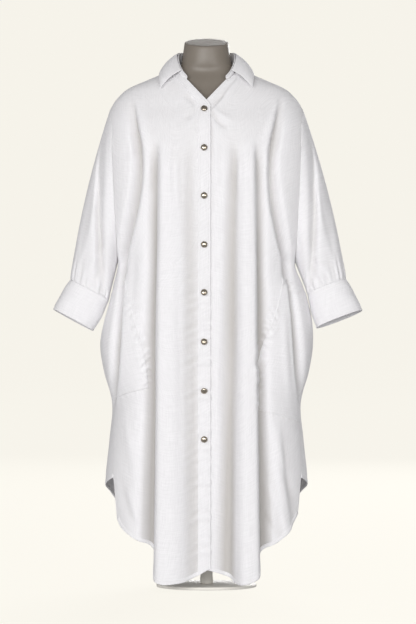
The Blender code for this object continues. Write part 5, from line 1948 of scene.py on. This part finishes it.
@dataclass
class DressForm:
    """The limbless torso with its pole and foot."""

    finishes: Finishes
    sides: int = 72
    ring_step: float = 0.008
    cap_rim: float = 0.0016

    def build(self) -> None:
        """Builds the torso and dresses the stand below it."""
        self.build_torso()
        self.build_lathe("dress_form_pole", "form_pole", self.pole_profile())
        self.build_lathe("dress_form_foot", "form_foot", self.foot_profile())

    def ring(self, z: float, shrink: float = 0.0, lift: float = 0.0) -> Values:
        """One level of the torso."""
        stations = column_of(FORM_SECTIONS, "z")
        width, front, back = (
            float(np.interp(z, stations, column_of(FORM_SECTIONS, name))) if z > ROUND_NECK_Z
            else float(curve_through(stations, column_of(FORM_SECTIONS, name), z))
            for name in ("half_width", "front", "back")
        )
        turn = np.linspace(0, 2 * math.pi, self.sides, endpoint=False)
        cosine = np.cos(turn)
        x = (width - shrink) * np.sin(turn)
        y = -np.where(cosine > 0, front - shrink, back - shrink) * cosine
        slant = NECK_CUT_SLOPE * y * float(smoothstep(1.20, NECK_TOP_Z, z))
        return np.stack([x, y, z + slant + lift + 0 * x], axis=1)

    def build_torso(self) -> None:
        """The torso, closed below by a rounded edge and above by the slanting neck cap."""
        levels = np.linspace(FORM_SECTIONS[0].z, NECK_TOP_Z, int((NECK_TOP_Z - TORSO_BOTTOM) / self.ring_step))
        rings = [self.ring(TORSO_BOTTOM, 0.06, 0.0), self.ring(TORSO_BOTTOM, 0.006, 0.0)]
        rings += [self.ring(float(z)) for z in levels]
        rings[-1] = self.ring(NECK_TOP_Z, 0.0, -self.cap_rim)
        rings.append(self.ring(NECK_TOP_Z, self.cap_rim * 0.3, -self.cap_rim * 0.3))
        rings.append(self.ring(NECK_TOP_Z, self.cap_rim, 0.0))
        rings += [self.ring(NECK_TOP_Z, s, 0.0) for s in (0.012, 0.024, 0.036)]
        made = self.skin("dress_form_torso", rings, self.finishes.cover)
        dress(made, Slot.COVER, "form_torso")

    def skin(self, name: str, rings: Sequence[Values], material: Material) -> Object:
        """Joins rings from the bottom up, with both ends closed."""
        count = len(rings[0])
        points = np.concatenate(rings)
        faces = []
        for k in range(len(rings) - 1):
            for i in range(count):
                j = (i + 1) % count
                faces.append([k * count + i, k * count + j, (k + 1) * count + j, (k + 1) * count + i])
        faces.append(list(range(count))[::-1])
        faces.append([(len(rings) - 1) * count + i for i in range(count)])
        return mesh_object(name, points, faces, material)

    def pole_profile(self) -> list[tuple[float, float]]:
        """Radius and height up the pole, with a low collar at its foot."""
        low, high = FOOT_HEIGHT + 0.0006, TORSO_BOTTOM - 0.0006
        r = POLE_RADIUS
        return [
            (r * 0.6, low), (r + 0.0004, low), (r + 0.0008, low + 0.001), (r + 0.0008, low + 0.014),
            (r, low + 0.016), (r, high - 0.002), (r * 0.96, high), (r * 0.6, high),
        ]

    def foot_profile(self) -> list[tuple[float, float]]:
        """Radius and height over the round foot, with a soft edge."""
        r, top = FOOT_RADIUS, FOOT_HEIGHT
        soft = 0.0022
        arc = [math.radians(a) for a in (0, 22.5, 45, 67.5, 90)]
        edge = [(r - soft + soft * math.cos(a), top - soft + soft * math.sin(a)) for a in arc]
        return [(r * 0.5, 0.0002), (r - 0.002, 0.0002), (r - 0.0004, 0.0010)] + edge + [(r * 0.7, top), (r * 0.3, top)]

    def build_lathe(self, name: str, node: str, profile: Sequence[tuple[float, float]]) -> None:
        """A turned steel part of the stand."""
        turn = np.linspace(0, 2 * math.pi, self.sides, endpoint=False)
        rings = [np.stack([r * np.sin(turn), -r * np.cos(turn), z + 0 * turn], axis=1) for r, z in profile]
        dress(self.skin(name, rings, self.finishes.coat), Slot.METAL, node)


@dataclass
class Studio:
    """The pale floor and backdrop, the soft lights and the camera at the photograph's angle."""

    finishes: Finishes
    metres_per_pixel: float = 0.0023
    picture_height: int = 624
    distance: float = 8.0
    aim: tuple = (0.00345, 0.6316)
    key_power: float = 210.0
    fill_power: float = 92.0
    back_power: float = 220.0
    high_sky: float = 0.32
    low_sky: float = 0.42

    def build(self) -> None:
        """Builds the stage, the lights, the world and the camera."""
        self.build_paper()
        self.add_light("key_light", (-1.7, -6.0, 1.5), (4.0, 2.2), self.key_power)
        self.add_light("fill_light", (2.4, -6.0, 1.3), (3.0, 2.0), self.fill_power)
        self.add_light("back_light", (1.6, 6.0, 2.6), (4.0, 2.2), self.back_power)
        self.build_world()
        self.build_camera()
        bpy.context.scene.view_settings.view_transform = "Standard"

    def build_paper(self) -> None:
        """Seamless paper: a round floor that curves up into a wall on every side."""
        reach, bend, top, sides, bend_steps = 24.0, 6.0, 16.0, 96, 12
        line = [(0.0, 0.0), (2.0, 0.0), (6.0, 0.0), (12.0, 0.0), (reach - bend, 0.0)]
        for step in range(1, bend_steps + 1):
            a = math.radians(90 * step / bend_steps)
            line.append((reach - bend + bend * math.sin(a), bend - bend * math.cos(a)))
        line.append((reach, top))
        points, faces = turned_shape(line, sides)
        paper = mesh_object("studio_paper", [tuple(point) for point in points], faces, self.finishes.paper)
        paper.visible_diffuse = False  # the paper's glow would wash out the folds from below
        paper.visible_glossy = False
        paper.visible_shadow = False  # the sky's light comes in from outside the paper

    def add_light(self, name: str, place: tuple, size: tuple, power: float) -> None:
        """A wide soft light that looks at the middle of the shirt."""
        data = bpy.data.lights.new(name, "AREA")
        data.shape = "RECTANGLE"
        data.size, data.size_y = size
        data.color = (1.0, 0.995, 0.99)
        data.energy = power
        lamp = bpy.data.objects.new(name, data)
        lamp.location = place
        lamp.rotation_mode = "QUATERNION"
        lamp.rotation_quaternion = (Vector((0.0, 0.0, 0.65)) - Vector(place)).to_track_quat("-Z", "Y")
        bpy.context.scene.collection.objects.link(lamp)

    def build_world(self) -> None:
        """An even pale sky of studio light."""
        world = bpy.data.worlds.new("studio_air")
        bpy.context.scene.world = world
        world.use_nodes = True
        tree = world.node_tree
        where = add_node(tree, "ShaderNodeTexCoord")
        axes = add_node(tree, "ShaderNodeSeparateXYZ", links={"Vector": where.outputs["Generated"]})
        height = add_node(
            tree,
            "ShaderNodeMapRange",
            {"From Min": -0.5, "From Max": 0.5, "To Min": self.low_sky, "To Max": self.high_sky},
            {"Value": axes.outputs["Z"]},
            interpolation_type="SMOOTHSTEP",
        )
        sky = tree.nodes["Background"]
        sky.inputs["Color"].default_value = linear("#FCFBFB")
        tree.links.new(height.outputs["Result"], sky.inputs["Strength"])

    def build_camera(self) -> None:
        """The camera, level and square on, far enough away that the shirt hardly tapers."""
        data = bpy.data.cameras.new("camera")
        half = self.picture_height / 2 * self.metres_per_pixel
        data.sensor_width = 36.0
        data.lens = data.sensor_width / 2 / (half / self.distance)
        data.clip_end = 100.0
        camera = bpy.data.objects.new("camera", data)
        camera.location = (self.aim[0], -self.distance, self.aim[1])
        camera.rotation_euler = (math.radians(90), 0.0, 0.0)
        bpy.context.scene.collection.objects.link(camera)
        bpy.context.scene.camera = camera


def main() -> None:
    """Builds the form, the shirt on it and the studio round them."""
    logging.basicConfig(level=logging.INFO, format="%(name)s %(message)s")
    finishes = Finishes()
    DressForm(finishes).build()
    Shirt(finishes).build()
    Studio(finishes).build()


if __name__ == "__main__":
    main()
